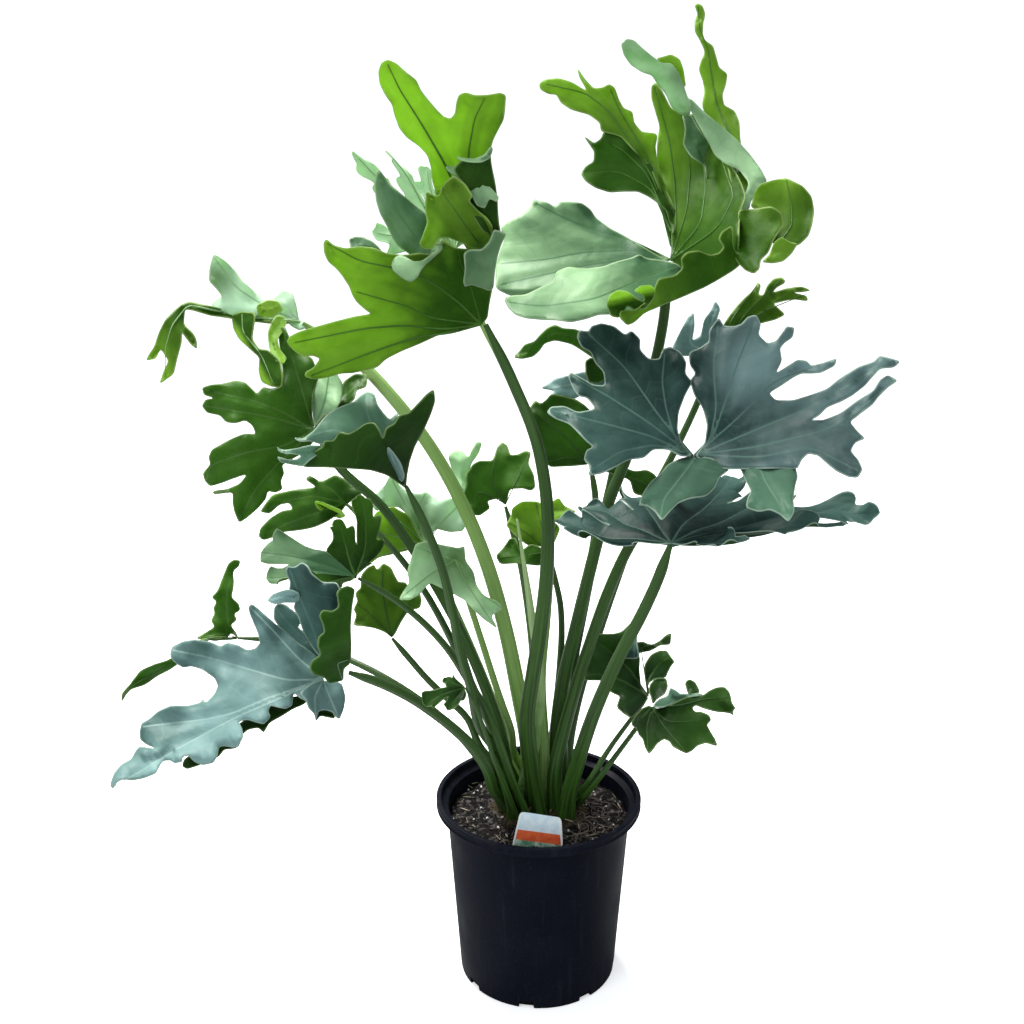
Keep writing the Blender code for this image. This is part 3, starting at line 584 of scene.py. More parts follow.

# Blades traced from close-ups of the picture: for each leaf, the picture's pixel at the close-up's
# top left corner and its scale, then its sheets. Each sheet has its tone, the face it turns to the
# viewpoint, some spots (right and down in the close-up, metres behind the pot's axis, and a value
# from 0, deep, to 1, light, that paints light and shade there along with the tone), its outline,
# and its veins from the joint outwards, as pairs of right and down
SHEETS = {
    "top_left": ((275, 40, 3.056), [
        ("lime", "under", [(630, 868, -.03, 0), (60, 930, -.06, .7), (120, 1030, -.055, .6),
          (155, 615, -.1, .8), (400, 860, -.05, .4), (560, 650, -.075, .15), (650, 700, -.05, .05),
          (300, 700, -.085, .55), (600, 760, -.05, 0), (450, 760, -.065, .15)],
         [630,872, 560,886, 500,902, 440,930, 390,950, 340,975, 310,1002, 240,1018, 200,1020, 160,1032,
          120,1038, 92,1030, 92,1016, 115,1004, 138,974, 115,964, 85,968, 55,948, 36,925, 42,908, 75,892,
          120,878, 180,862, 240,846, 296,838, 270,820, 248,800, 235,778, 226,752, 205,720, 188,700, 163,678,
          150,648, 148,620, 157,608, 180,628, 215,638, 260,632, 300,636, 345,655, 400,658, 440,652, 480,656,
          502,638, 510,608, 545,635, 600,640, 645,655, 658,700, 664,760, 655,810, 650,850],
         [630,868, 560,800, 480,740, 380,700, 260,676, 160,622],
         [630,868, 540,894, 430,908, 300,952, 110,1026], [630,868, 520,884, 400,872, 280,880, 60,925],
         [630,868, 480,850, 400,812, 320,790, 250,770], [630,868, 600,760, 570,690, 560,650]),
        ("lime", "under", [(345, 60, -.17, .9), (690, 170, -.13, .5), (530, 240, -.13, .85),
          (500, 470, -.085, .8), (660, 560, -.065, .3), (600, 660, -.06, .2)],
         [492,470, 480,430, 478,392, 468,355, 440,325, 405,300, 380,270, 365,230, 358,196, 336,165, 320,135,
          316,98, 326,70, 345,60, 372,72, 400,100, 432,124, 446,155, 466,182, 490,210, 516,236, 536,242,
          551,226, 556,190, 563,168, 582,161, 610,170, 650,169, 690,162, 706,170, 702,210, 698,245, 680,280,
          665,310, 655,345, 660,400, 675,470, 682,560, 650,640, 600,660, 560,600, 520,560, 500,510],
         [610,650, 580,520, 520,380, 450,260, 380,150, 345,75],
         [610,650, 600,500, 590,350, 610,240, 640,180]),
        ("green", "under", [(560, 380, -.125, .5), (660, 360, -.13, .3), (684, 570, -.1, .4),
          (600, 480, -.115, .4)],
         [565,370, 600,372, 640,362, 657,335, 662,380, 672,430, 680,480, 684,560, 692,600, 660,600, 630,580,
          600,530, 585,490, 592,455, 560,420, 545,395]),
        ("lime", "under", [(465, 462, -.1, .4), (600, 485, -.125, .5), (665, 570, -.1, .35),
          (620, 640, -.074, .2), (450, 620, -.088, .5)],
         [464,460, 480,474, 500,476, 515,440, 545,415, 580,440, 604,478, 592,492, 620,522, 648,545, 665,570,
          660,610, 632,642, 600,636, 570,620, 530,604, 505,604, 480,640, 455,640, 440,625, 452,598, 466,560,
          458,520], [632,635, 590,580, 550,520, 520,480, 510,450]),
        ("sage", "upper", [(318, 395, -.05, .2), (475, 660, -.066, -.1), (350, 560, -.06, .3),
          (430, 520, -.062, -.05)],
         [318,394, 345,430, 380,465, 420,496, 455,522, 480,560, 480,660, 440,675, 372,628, 356,600, 340,566,
          320,530, 308,490, 304,440, 310,405], [475,655, 420,590, 370,520, 322,405]),
        ("sage", "upper", [(520, 388, -.107, .6), (680, 480, -.126, .5), (630, 500, -.122, .35)],
         [518,386, 545,384, 580,402, 620,425, 660,450, 684,480, 678,496, 655,484, 642,516, 616,506, 603,478,
          590,455, 560,425, 535,404]),
        ("sage", "upper", [(552, 356, -.126, .8), (660, 325, -.134, .8), (610, 368, -.134, .6)],
         [550,354, 576,360, 612,362, 640,350, 660,322, 666,335, 656,362, 630,374, 595,374, 564,368]),
        ("sage", "upper", [(700, 590, -.11, .35), (660, 760, -.06, .5), (580, 750, -.085, .4),
          (580, 650, -.1, .15), (640, 690, -.085, .25)],
         [706,595, 692,625, 682,655, 673,700, 668,760, 655,768, 630,758, 600,748, 580,756, 575,740, 582,700,
          577,650, 600,640, 632,642, 655,618, 668,580, 690,585]),
        ("sage", "upper", [(357, 685, -.096, .8), (508, 612, -.083, .35), (415, 740, -.1, .6),
          (390, 690, -.1, .9)],
         [355,685, 364,665, 385,654, 402,664, 425,678, 450,675, 476,655, 500,640, 508,608, 514,640, 492,660,
          462,685, 446,702, 436,725, 416,741, 394,732, 374,716, 360,704]),
        ("sage", "upper", [(230, 605, -.07, 0), (330, 640, -.065, .1), (260, 650, -.075, 0)],
         [226,610, 242,600, 268,600, 298,614, 322,638, 330,652, 280,655, 232,645]),
    ]),
    "top_right": ((480, 0, 2.851), [
        ("sage", "upper", [(540, 740, .05, -.45), (60, 700, .1, .65), (60, 820, .04, .5),
          (160, 575, .11, .35), (300, 590, .12, 0), (300, 700, .08, .25)],
         [540,742, 520,735, 490,718, 450,694, 400,665, 370,650, 330,620, 315,596, 290,578, 255,574, 225,575,
          214,590, 190,575, 165,572, 155,564, 147,585, 125,606, 105,620, 75,635, 58,650, 70,680, 55,720,
          44,760, 44,820, 80,842, 140,852, 250,832, 400,800, 500,770],
         [540,740, 440,690, 330,660, 240,622, 160,580], [540,740, 440,715, 300,720, 180,742, 60,752],
         [540,740, 420,742, 300,758, 150,792, 60,812], [540,740, 400,670, 320,620, 280,585]),
        ("sage", "upper", [(80, 870, -.08, .55), (560, 760, .02, -.25), (250, 770, 0, .6),
          (250, 910, -.1, .25), (400, 740, .02, .15), (430, 880, -.06, .05), (310, 810, -.04, .85)],
         [68,850, 90,842, 130,840, 180,815, 210,802, 216,775, 250,760, 300,766, 350,760, 390,745, 430,735,
          455,724, 475,736, 510,740, 560,750, 578,765, 560,800, 510,830, 440,900, 375,896, 340,896, 300,910,
          260,918, 220,912, 180,911, 130,906, 100,896, 80,876], [560,758, 450,800, 330,852, 180,874, 85,862]),
        ("lime", "under", [(540, 700, .07, -.05), (170, 240, .15, .75), (370, 240, .14, .65),
          (500, 400, .125, .8), (440, 420, .12, .2), (300, 290, .145, .7)],
         [545,720, 530,600, 510,540, 490,490, 470,460, 430,420, 400,388, 345,374, 342,350, 310,326, 260,312,
          230,292, 218,270, 195,268, 172,255, 168,238, 185,226, 225,222, 265,236, 305,260, 285,222, 277,192,
          300,226, 325,252, 350,250, 368,239, 385,250, 397,285, 410,308, 435,318, 440,350, 462,376, 506,382,
          500,420, 510,480, 540,560, 575,640], [545,700, 500,520, 430,400, 360,310, 300,265, 190,240],
         [545,700, 510,510, 450,400, 400,320, 372,255]),
        ("green", "under", [(540, 640, .07, .6), (290, 495, .1, 1), (300, 390, .12, 1),
          (400, 385, .135, .7)],
         [548,680, 532,602, 510,580, 480,560, 450,545, 410,545, 370,548, 330,535, 300,515, 287,495, 300,474,
          325,460, 326,430, 310,410, 296,388, 325,410, 345,395, 355,372, 400,380, 450,410, 500,480, 520,530,
          560,620], [545,660, 490,540, 400,490, 300,492], [545,660, 480,500, 410,430, 350,395]),
        ("lime", "under", [(545, 742, .05, 0), (495, 240, .14, .5), (600, 330, .12, .2), (745, 545, 0, 0),
          (738, 600, -.03, -.05), (725, 650, -.045, -.1), (700, 760, -.055, -.1), (620, 640, .04, 0),
          (530, 480, .12, .55), (640, 500, .09, -.05)],
         [545,745, 545,640, 532,560, 505,490, 505,400, 512,360, 500,320, 488,280, 488,246, 500,234, 520,262,
          545,310, 590,325, 640,330, 700,440, 745,520, 758,560, 742,600, 738,650, 737,745, 690,785, 640,812,
          600,790, 570,770], [545,742, 560,640, 555,520, 540,400, 498,250],
         [545,742, 630,640, 645,520, 620,380], [545,742, 680,650, 725,560, 690,460],
         [545,742, 590,600, 600,480, 580,340]),
        ("lime", "under", [(620, 10, .16, .6), (720, 385, .1, .45), (640, 250, .14, .75),
          (745, 550, .02, .2)],
         [611,14, 622,8, 635,17, 643,40, 636,65, 635,95, 641,114, 665,130, 673,160, 682,192, 706,210,
          701,240, 690,270, 696,300, 726,315, 739,346, 742,395, 752,450, 770,500, 775,555, 745,580, 715,520,
          700,450, 660,370, 633,300, 640,260, 635,230, 624,198, 630,172, 641,148, 628,116, 613,90, 611,60,
          620,40], [745,550, 722,400, 675,300, 658,200, 650,140, 626,80, 622,20]),
        ("lime", "under", [(515, 165, .063, .5), (585, 240, .073, .4), (570, 165, .068, .6)],
         [503,166, 520,162, 545,154, 570,168, 581,200, 588,250, 560,240, 530,200]),
        ("sage", "upper", [(405, 125, .05, .6), (598, 328, .07, .8), (480, 190, .06, 1),
          (560, 200, .06, .6)],
         [402,126, 418,110, 440,114, 465,140, 490,160, 520,180, 545,180, 565,205, 580,240, 590,270, 602,300,
          598,330, 570,328, 545,305, 530,270, 505,240, 490,215, 460,205, 430,186, 410,158]),
        ("sage", "upper", [(575, 330, .09, .1), (645, 520, .08, .2), (620, 400, .088, .15)],
         [576,326, 602,326, 626,370, 655,405, 642,450, 647,525, 638,470, 600,446, 578,412, 586,370]),
        ("sage", "upper", [(592, 280, .07, .6), (700, 400, .075, .65), (818, 518, .03, .6),
          (745, 598, -.02, .8)],
         [590,278, 606,284, 640,320, 690,360, 735,400, 770,440, 800,480, 820,518, 800,532, 785,552, 772,576,
          768,596, 745,600, 731,590, 735,570, 760,546, 766,520, 738,482, 700,466, 670,442, 650,400, 620,350,
          600,312]),
        ("lime", "under", [(775, 590, -.02, .55), (875, 508, -.02, .55), (950, 600, -.04, .1),
          (890, 700, -.07, -.05)],
         [772,592, 780,552, 800,526, 840,512, 875,507, 920,530, 946,560, 953,600, 946,640, 936,672, 912,696,
          890,702, 850,700, 830,690, 830,640, 820,600], [850,700, 890,640, 888,580, 874,515]),
        ("lime", "under", [(738, 598, -.03, .15), (860, 610, -.055, .25), (780, 780, -.09, -.1),
          (722, 700, -.05, .05)],
         [736,598, 780,596, 830,587, 860,606, 866,640, 838,680, 822,720, 800,740, 796,766, 780,780, 755,770,
          730,745, 720,700, 734,650]),
        ("lime", "under", [(805, 745, -.1, .5), (900, 700, -.085, .35), (860, 675, -.08, .4)],
         [803,747, 824,726, 838,690, 860,674, 885,690, 907,694, 890,722, 865,744, 835,751]),
        ("lime", "under", [(735, 745, -.065, .1), (715, 650, -.07, .2), (420, 925, -.13, .35),
          (560, 790, -.09, .1), (690, 680, -.075, .15), (470, 880, -.12, .4), (640, 790, -.075, -.05)],
         [742,756, 737,730, 722,700, 722,652, 716,644, 690,660, 680,682, 696,705, 682,722, 655,727, 625,714,
          590,720, 573,738, 578,765, 556,786, 510,794, 500,815, 490,845, 470,865, 440,884, 400,884, 398,905,
          420,928, 440,920, 470,892, 520,871, 580,846, 640,820, 690,792, 722,772]),
        ("lime", "under", [(362, 870, -.14, .45), (500, 830, -.13, .5), (420, 850, -.145, .6)],
         [361,870, 368,842, 390,827, 420,831, 445,850, 468,860, 466,842, 438,831, 458,814, 490,812, 502,830,
          496,852, 472,882, 440,884, 420,872, 412,888, 396,907, 372,902]),
    ]),
    "right_wide": ((500, 270, 2.321), [
        ("blue", "upper", [(448, 428, -.07, .2), (190, 150, .02, .25), (110, 330, -.08, .5),
          (205, 470, -.18, .5), (430, 200, .01, .1), (300, 300, -.04, .15), (280, 420, -.13, .5)],
         [448,432, 422,402, 412,370, 415,330, 430,290, 447,260, 430,240, 433,215, 420,190, 395,177, 376,184,
          370,206, 345,206, 325,185, 326,160, 305,140, 290,150, 265,130, 235,123, 212,130, 205,142, 182,139,
          178,156, 190,180, 210,190, 220,215, 240,236, 244,268, 215,266, 190,250, 163,236, 158,250, 170,275,
          182,292, 202,296, 222,322, 180,330, 150,315, 118,317, 108,330, 130,345, 160,356, 180,376, 200,396,
          216,410, 200,418, 194,440, 210,455, 205,477, 236,472, 270,456, 300,440, 335,436, 356,416, 390,416,
          420,432], [446,430, 370,340, 290,225, 205,148], [446,430, 405,388, 385,320, 376,260, 382,195],
         [446,430, 340,350, 250,292, 165,245], [446,430, 350,385, 250,358, 120,325],
         [446,428, 360,405, 280,420, 210,465]),
        ("slate", "upper", [(455, 428, -.07, .15), (595, 105, .03, .45), (928, 212, -.01, .4),
          (922, 255, -.03, .3), (840, 470, -.15, .15), (680, 460, -.12, .35), (620, 330, -.03, .22),
          (475, 160, .03, .02), (575, 215, 0, 1), (490, 290, -.02, .08), (800, 370, -.08, .22)],
         [452,432, 475,402, 481,360, 470,320, 450,290, 440,256, 454,240, 440,220, 438,190, 465,180, 485,165,
          485,140, 495,126, 508,110, 520,130, 545,130, 560,125, 575,108, 595,103, 606,125, 600,150, 620,170,
          640,165, 655,145, 665,130, 684,133, 680,156, 660,170, 650,182, 655,210, 640,240, 668,222, 690,208,
          712,210, 722,222, 750,215, 782,204, 778,222, 745,238, 720,240, 700,240, 680,250, 650,270, 625,286,
          640,302, 680,302, 720,290, 760,275, 790,250, 830,225, 868,212, 880,198, 910,205, 930,212, 915,226,
          882,228, 862,250, 848,268, 820,290, 790,306, 760,318, 742,336, 722,348, 750,348, 790,332, 830,302,
          866,280, 880,256, 900,243, 924,256, 900,272, 880,292, 865,312, 840,330, 812,352, 832,376, 848,390,
          825,400, 814,420, 832,440, 842,462, 830,482, 808,480, 780,466, 760,450, 738,430, 715,425, 700,440,
          690,462, 640,460, 560,462, 520,462, 480,445], [452,430, 495,385, 525,300, 550,220, 590,118],
         [452,430, 545,350, 640,255, 770,212], [452,430, 560,385, 720,318, 860,235, 910,212],
         [452,428, 600,410, 760,370, 850,310, 915,256], [452,428, 600,435, 720,410, 830,465],
         [452,430, 488,392, 502,320, 495,220, 505,130]),
        ("fern", "upper", [(450, 430, -.072, .5), (322, 545, -.17, .7), (375, 580, -.19, .8),
          (500, 505, -.13, .5), (420, 480, -.12, .55)],
         [455,430, 420,436, 390,450, 370,475, 350,490, 330,520, 321,546, 340,546, 360,560, 375,582, 395,560,
          415,540, 440,530, 480,525, 500,505, 510,480, 532,464, 530,450, 490,436],
         [455,432, 420,480, 380,530, 372,572]),
        ("fern", "upper", [(560, 455, -.09, .5), (690, 470, -.12, .7), (668, 583, -.19, .85),
          (575, 540, -.16, .7)],
         [555,455, 570,490, 582,512, 574,530, 570,551, 600,561, 626,555, 650,566, 669,585, 684,560, 681,530,
          686,500, 692,478, 684,452, 620,448], [600,455, 620,500, 640,530, 662,575]),
    ]),
    "left_low": ((90, 540, 3.565), [
        ("mist", "upper", [(830, 495, -.135, .3), (75, 885, -.26, .85), (180, 680, -.2, .15),
          (285, 400, -.14, .25), (565, 235, -.11, .1), (640, 600, -.19, .5), (450, 450, -.13, .5),
          (400, 700, -.2, .65), (250, 800, -.235, .8), (430, 560, -.165, .55), (350, 470, -.15, .35)],
         [564,240, 574,225, 600,243, 635,275, 660,298, 700,325, 750,360, 800,395, 824,430, 836,498, 800,560,
          776,576, 745,560, 726,544, 722,590, 700,601, 670,595, 642,588, 636,610, 645,632, 620,657, 590,650,
          560,640, 530,646, 542,670, 548,700, 522,742, 480,735, 460,738, 455,770, 440,796, 400,804, 370,790,
          350,766, 330,772, 328,792, 300,796, 285,785, 262,786, 250,802, 235,832, 190,850, 150,856, 120,851,
          96,862, 78,890, 71,870, 85,830, 110,800, 147,780, 165,745, 176,735, 200,738, 235,743, 200,730,
          178,712, 176,680, 183,652, 215,634, 240,610, 290,588, 350,590, 395,578, 401,562, 412,580, 442,550,
          456,520, 442,490, 400,460, 360,451, 330,456, 300,436, 284,410, 290,380, 330,360, 370,354, 430,362,
          465,379, 490,364, 530,375, 560,392, 590,386, 606,365, 597,330, 580,290, 568,262],
         [832,495, 700,500, 550,455, 430,420, 295,392], [832,495, 720,545, 500,640, 300,750, 80,882],
         [832,495, 640,560, 500,620, 400,640, 185,665], [832,495, 740,420, 650,320, 570,238]),
        ("dark", "under", [(790, 550, -.15, .4), (620, 680, -.17, .4), (390, 800, -.2, .4),
          (350, 700, -.18, .3)],
         [792,552, 765,586, 720,603, 682,628, 640,652, 620,688, 600,668, 565,676, 545,692, 535,730, 520,742,
          478,746, 460,772, 440,780, 390,802, 345,818, 327,806, 335,780, 400,740, 500,680, 600,600, 700,560]),
        ("mist", "upper", [(830, 500, -.14, .4), (905, 520, -.12, .4), (890, 635, -.15, .4),
          (808, 640, -.17, .4)],
         [828,498, 850,505, 882,504, 900,514, 912,560, 906,600, 896,626, 889,640, 872,626, 866,612, 840,606,
          815,610, 808,645, 800,620, 780,600, 770,570, 745,545, 790,510], [832,498, 850,550, 885,630],
         [832,498, 800,560, 806,630]),
        ("dark", "under", [(800, 625, -.15, .4), (890, 640, -.14, .4), (850, 590, -.13, .4)],
         [806,648, 822,626, 850,632, 874,636, 876,600, 830,590, 800,600]),
        ("green", "under", [(900, 180, -.2, .7), (800, 460, -.185, .7), (925, 300, -.19, .6),
          (905, 500, -.13, .5), (870, 350, -.2, .6)],
         [880,186, 888,240, 862,256, 830,250, 817,270, 830,300, 836,330, 815,346, 812,380, 823,410, 790,434,
          784,460, 800,482, 836,490, 850,512, 905,502, 905,460, 930,440, 933,380, 930,310, 935,240, 946,174,
          920,163, 895,172], [900,500, 880,440, 920,428]),
        ("blue", "upper", [(755, 80, -.13, .3), (830, 320, -.145, .35), (700, 120, -.12, .7),
          (880, 160, -.15, .1)],
         [698,94, 730,96, 755,78, 776,90, 790,120, 830,150, 882,150, 900,200, 880,260, 850,300, 840,380,
          820,420, 790,380, 760,330, 742,275, 724,240, 735,210, 708,180, 713,150, 698,120],
         [836,470, 800,330, 750,210, 712,105]),
        ("blue", "upper", [(670, 225, -.12, .7), (815, 400, -.133, .5), (655, 280, -.118, .7)],
         [655,240, 672,223, 700,230, 722,250, 748,270, 752,296, 740,312, 790,345, 822,375, 820,430, 780,396,
          740,370, 700,332, 670,306, 654,282], [825,420, 760,350, 700,290, 664,240]),
        ("mist", "upper", [(630, 215, -.118, .9), (700, 190, -.122, .85), (735, 215, -.126, .7)],
         [630,216, 650,192, 690,178, 716,176, 748,190, 745,225, 690,224, 655,230]),
    ]),
    "far_left_low": ((90, 440, 3.054), [
        ("green", "upper", [(455, 600, .08, .5), (450, 365, .12, 1.1), (330, 605, .07, .9),
          (400, 480, .1, 1)],
         [456,610, 445,600, 430,590, 418,608, 385,614, 320,606, 348,590, 380,570, 368,552, 380,530, 376,512,
          386,494, 370,480, 388,462, 402,425, 422,376, 440,364, 460,368, 456,386, 438,400, 440,440, 432,480,
          455,500, 460,520, 440,532, 450,548, 430,566, 448,590], [452,604, 420,560, 415,470, 448,372],
         [452,604, 400,590, 335,604]),
        ("green", "under", [(450, 602, .082, .3), (250, 690, .05, .8), (98, 800, 0, .5),
          (170, 710, .02, .9)],
         [456,608, 420,612, 350,612, 300,650, 270,684, 245,702, 205,722, 170,748, 125,762, 105,785, 97,802,
          98,775, 128,738, 155,704, 200,684, 240,672, 290,640, 340,606, 400,600],
         [450,604, 350,610, 230,695, 125,752, 100,795]),
    ]),
    "left_inner": ((120, 200, 2.27), [
        ("green", "upper", [(511, 688, .07, .3), (320, 765, .09, .9), (318, 708, .1, 1), (430, 630, .1, 1),
          (552, 662, .065, .5), (440, 690, .085, .7)],
         [513,692, 500,712, 470,730, 440,744, 410,750, 370,754, 348,766, 325,773, 314,764, 318,745, 340,722,
          368,705, 392,702, 384,688, 362,692, 340,712, 317,708, 330,688, 346,668, 400,656, 446,652, 420,634,
          430,624, 456,640, 490,622, 522,640, 556,652, 548,668], [511,688, 440,670, 380,682, 328,704],
         [511,688, 430,716, 370,738, 322,764], [511,688, 480,655, 432,630]),
        ("lime", "upper", [(442, 684, .072, 1), (510, 716, .063, .8), (475, 700, .07, .9)],
         [440,684, 462,686, 484,696, 502,704, 513,719, 498,724, 474,714, 448,702]),
    ]),
    "mid_left": ((130, 220, 3.12), [
        ("fern", "upper", [(515, 682, -.12, 1), (740, 535, -.04, 1), (835, 600, -.06, .5),
          (650, 650, -.12, .9), (850, 800, -.1, .3)],
         [508,678, 540,682, 575,655, 600,622, 622,600, 660,580, 700,566, 716,548, 740,534, 764,543, 772,575,
          790,600, 810,622, 838,596, 836,640, 850,720, 862,820, 800,760, 760,700, 700,700, 655,705, 600,702,
          560,690, 530,690], [858,820, 780,690, 740,610, 735,545], [858,820, 740,700, 640,650, 520,682]),
        ("fern", "upper", [(455, 710, -.168, 1), (600, 705, -.175, .9), (470, 757, -.17, 1),
          (560, 760, -.178, .9)],
         [455,708, 480,718, 520,712, 560,703, 604,703, 590,730, 560,750, 540,770, 505,764, 470,757, 456,738,
          490,748, 520,746, 535,735, 500,730, 470,726]),
        ("green", "under", [(858, 830, -.1, 0), (515, 755, -.17, .4), (948, 530, -.18, .4),
          (650, 690, -.18, .3), (790, 680, -.2, .15), (680, 775, -.19, .15), (900, 640, -.17, .1)],
         [513,755, 540,738, 575,722, 602,708, 605,690, 635,688, 652,660, 680,668, 705,655, 735,633, 763,631,
          778,655, 790,684, 798,650, 825,636, 840,610, 870,603, 900,572, 925,545, 949,528, 953,565, 940,605,
          918,655, 890,705, 873,755, 865,800, 862,840, 835,820, 800,796, 750,781, 680,776, 600,772, 545,772]),
        ("mist", "upper", [(803, 708, -.2, .4), (853, 815, -.125, .5), (830, 760, -.165, .5)],
         [802,706, 820,724, 845,760, 857,800, 850,820, 830,802, 812,770, 801,736],
         [852,812, 830,770, 805,712]),
    ]),
    "left_dark": ((130, 220, 3.12), [
        ("green", "upper", [(573, 655, .02, .4), (225, 530, .02, .9), (480, 330, .08, 1),
          (230, 800, -.01, .9), (340, 940, -.03, .9), (475, 820, -.01, .8), (400, 600, .01, 1),
          (350, 750, -.015, .9)],
         [577,658, 568,600, 572,540, 590,490, 570,430, 530,412, 500,372, 482,328, 462,340, 464,372, 470,420,
          478,480, 470,520, 440,526, 415,520, 396,542, 380,526, 360,506, 330,500, 290,510, 250,514, 224,524,
          230,546, 262,556, 235,560, 223,580, 240,602, 280,610, 300,632, 330,634, 360,625, 382,642, 392,668,
          360,665, 320,680, 290,696, 255,715, 244,740, 250,762, 226,790, 233,815, 250,832, 290,820, 320,808,
          365,793, 342,822, 300,840, 256,846, 262,857, 320,850, 319,880, 325,912, 340,946, 365,930, 400,900,
          425,870, 430,846, 455,852, 477,840, 471,815, 482,790, 475,765, 500,750, 545,725, 575,690],
         [573,655, 480,600, 380,560, 235,530], [573,655, 545,560, 510,440, 475,340],
         [573,655, 480,705, 360,725, 250,765, 238,810], [573,655, 470,750, 390,840, 340,935],
         [573,655, 460,620, 360,600, 235,580]),
        ("sage", "upper", [(575, 640, .025, .2), (600, 480, .06, .8), (700, 500, .06, .6),
          (650, 580, .03, .6)],
         [575,650, 568,590, 566,530, 590,480, 640,470, 665,510, 660,560, 640,596, 605,604],
         [577,650, 610,560, 620,490]),
        ("green", "upper", [(575, 650, .028, .4), (740, 490, .07, .6), (700, 570, .04, .5)],
         [577,652, 600,606, 640,590, 656,560, 664,505, 700,480, 742,480, 738,520, 706,530, 700,560, 660,590,
          610,612], [577,650, 660,560, 732,490]),
    ]),
    "far_left_top": ((130, 220, 3.12), [
        ("pale", "upper", [(258, 110, .12, 1), (400, 240, .12, 1.25), (265, 280, .1, 1.05),
          (530, 318, .12, 1.4), (260, 180, .12, .15)],
         [245,190, 248,150, 260,108, 275,114, 300,130, 330,160, 350,190, 380,215, 400,236, 430,250, 480,270,
          535,318, 480,320, 430,300, 385,300, 340,302, 320,312, 300,292, 268,296, 254,262, 272,246, 288,240,
          270,215], [530,318, 420,270, 330,210, 265,120]),
        ("pale", "upper", [(440, 245, .13, .85), (540, 320, .12, 1.05), (500, 220, .14, .75)],
         [440,244, 480,214, 506,222, 520,270, 527,310, 560,330, 530,345, 500,330, 480,300, 450,270]),
        ("lime", "under", [(300, 300, .1, -.3), (185, 255, .08, -.25), (60, 440, .05, .75),
          (92, 512, .05, .75), (205, 400, .05, .1)],
         [163,262, 185,254, 222,262, 272,272, 320,290, 400,300, 480,310, 530,318, 480,326, 380,318, 300,304,
          250,298, 200,282, 172,278, 168,325, 192,348, 206,370, 209,404, 194,392, 174,366, 162,350, 160,385,
          145,440, 135,482, 90,514, 105,470, 120,440, 96,402, 80,432, 48,440, 75,395, 90,350, 110,310,
          140,280], [530,318, 400,305, 280,285, 180,265, 130,330, 110,400, 110,490]),
        ("lime", "under", [(330, 300, .095, -.3), (440, 520, .02, .8), (400, 420, .05, -.15)],
         [316,296, 350,284, 392,290, 386,330, 380,370, 402,402, 430,405, 470,440, 477,490, 472,524, 440,520,
          410,506, 400,470, 404,430, 370,400, 340,372, 322,340], [350,295, 352,350, 410,420, 445,505]),
        ("lime", "under", [(470, 300, .1, .4), (480, 445, .03, .9), (435, 370, .06, .7)],
         [455,298, 476,298, 492,310, 482,342, 460,370, 466,400, 490,430, 480,450, 455,440, 433,400, 430,350,
          440,320]),
        ("lime", "upper", [(400, 260, .09, .6), (470, 260, .09, .5), (430, 300, .085, .6)],
         [393,266, 428,248, 465,252, 478,282, 442,306, 400,302]),
    ]),
    "inner_low": ((290, 420, 3.7), [
        ("lime", "under", [(376, 803, -.01, 0), (345, 530, .02, .3), (240, 700, 0, .15), (480, 660, 0, .15)],
         [376,806, 350,785, 310,770, 270,762, 233,760, 245,722, 234,700, 250,670, 240,640, 262,620, 262,575,
          285,548, 312,534, 320,556, 345,528, 375,545, 385,570, 400,600, 430,600, 440,626, 480,634, 487,670,
          480,697, 440,705, 410,750, 388,795], [376,803, 352,700, 340,620, 345,540],
         [376,803, 420,710, 465,650], [376,803, 310,730, 248,680]),
    ]),
    "inner_pale": ((290, 420, 3.7), [
        ("lime", "under", [(499, 462, .1, .25), (255, 440, .06, 1.2), (350, 330, .08, .95),
          (430, 380, .09, .25), (300, 530, .05, 1)],
         [505,465, 475,425, 440,352, 410,336, 380,318, 350,330, 320,340, 300,376, 268,402, 252,440, 262,470,
          245,500, 258,536, 300,530, 330,508, 380,498, 440,482], [500,463, 430,440, 340,420, 270,440],
         [500,463, 440,400, 360,340], [500,463, 400,480, 280,520]),
        ("pale", "upper", [(499, 462, .1, -.1), (300, 300, .12, 1.35), (380, 220, .13, 1.35),
          (560, 290, .13, 1.35), (650, 390, .12, .85), (480, 350, .12, .2)],
         [500,468, 460,400, 430,345, 400,322, 350,322, 320,340, 292,302, 330,260, 352,240, 368,208, 392,215,
          402,238, 430,262, 480,275, 500,262, 540,290, 600,288, 625,320, 662,340, 655,382, 640,412, 590,416,
          540,402, 520,430], [500,463, 440,340, 380,225], [500,463, 560,380, 620,320],
         [500,463, 470,330, 500,275]),
    ]),
    "inner_pale_low": ((290, 420, 3.7), [
        ("pale", "under", [(612, 518, -.015, .25), (480, 455, -.03, .65), (405, 662, -.06, 1.65),
          (765, 770, -.05, 1.2), (645, 465, -.01, .35), (540, 580, -.04, .65)],
         [600,470, 560,460, 500,449, 465,460, 452,500, 435,560, 442,600, 415,640, 402,664, 440,666, 480,646,
          500,620, 522,602, 560,620, 600,640, 650,668, 680,702, 720,740, 768,774, 745,722, 792,698, 770,672,
          720,650, 690,610, 680,560, 650,520, 646,464, 625,474], [612,518, 540,500, 470,470],
         [612,518, 520,570, 415,655], [612,518, 650,600, 760,765], [612,518, 640,540, 700,640, 785,692]),
    ]),
    "back_mid": ((290, 420, 3.7), [
        ("green", "under", [(796, 315, .2, .65), (660, 330, .18, 1.05), (785, 82, .25, 1.75),
          (890, 120, .24, 1.75), (905, 250, .2, 1.4), (700, 150, .22, 1.55)],
         [660,332, 638,280, 655,240, 650,200, 680,160, 702,150, 750,150, 765,102, 785,80, 806,95, 815,130,
          840,128, 870,113, 893,118, 882,160, 902,200, 908,250, 890,262, 862,252, 812,255, 800,320, 770,290,
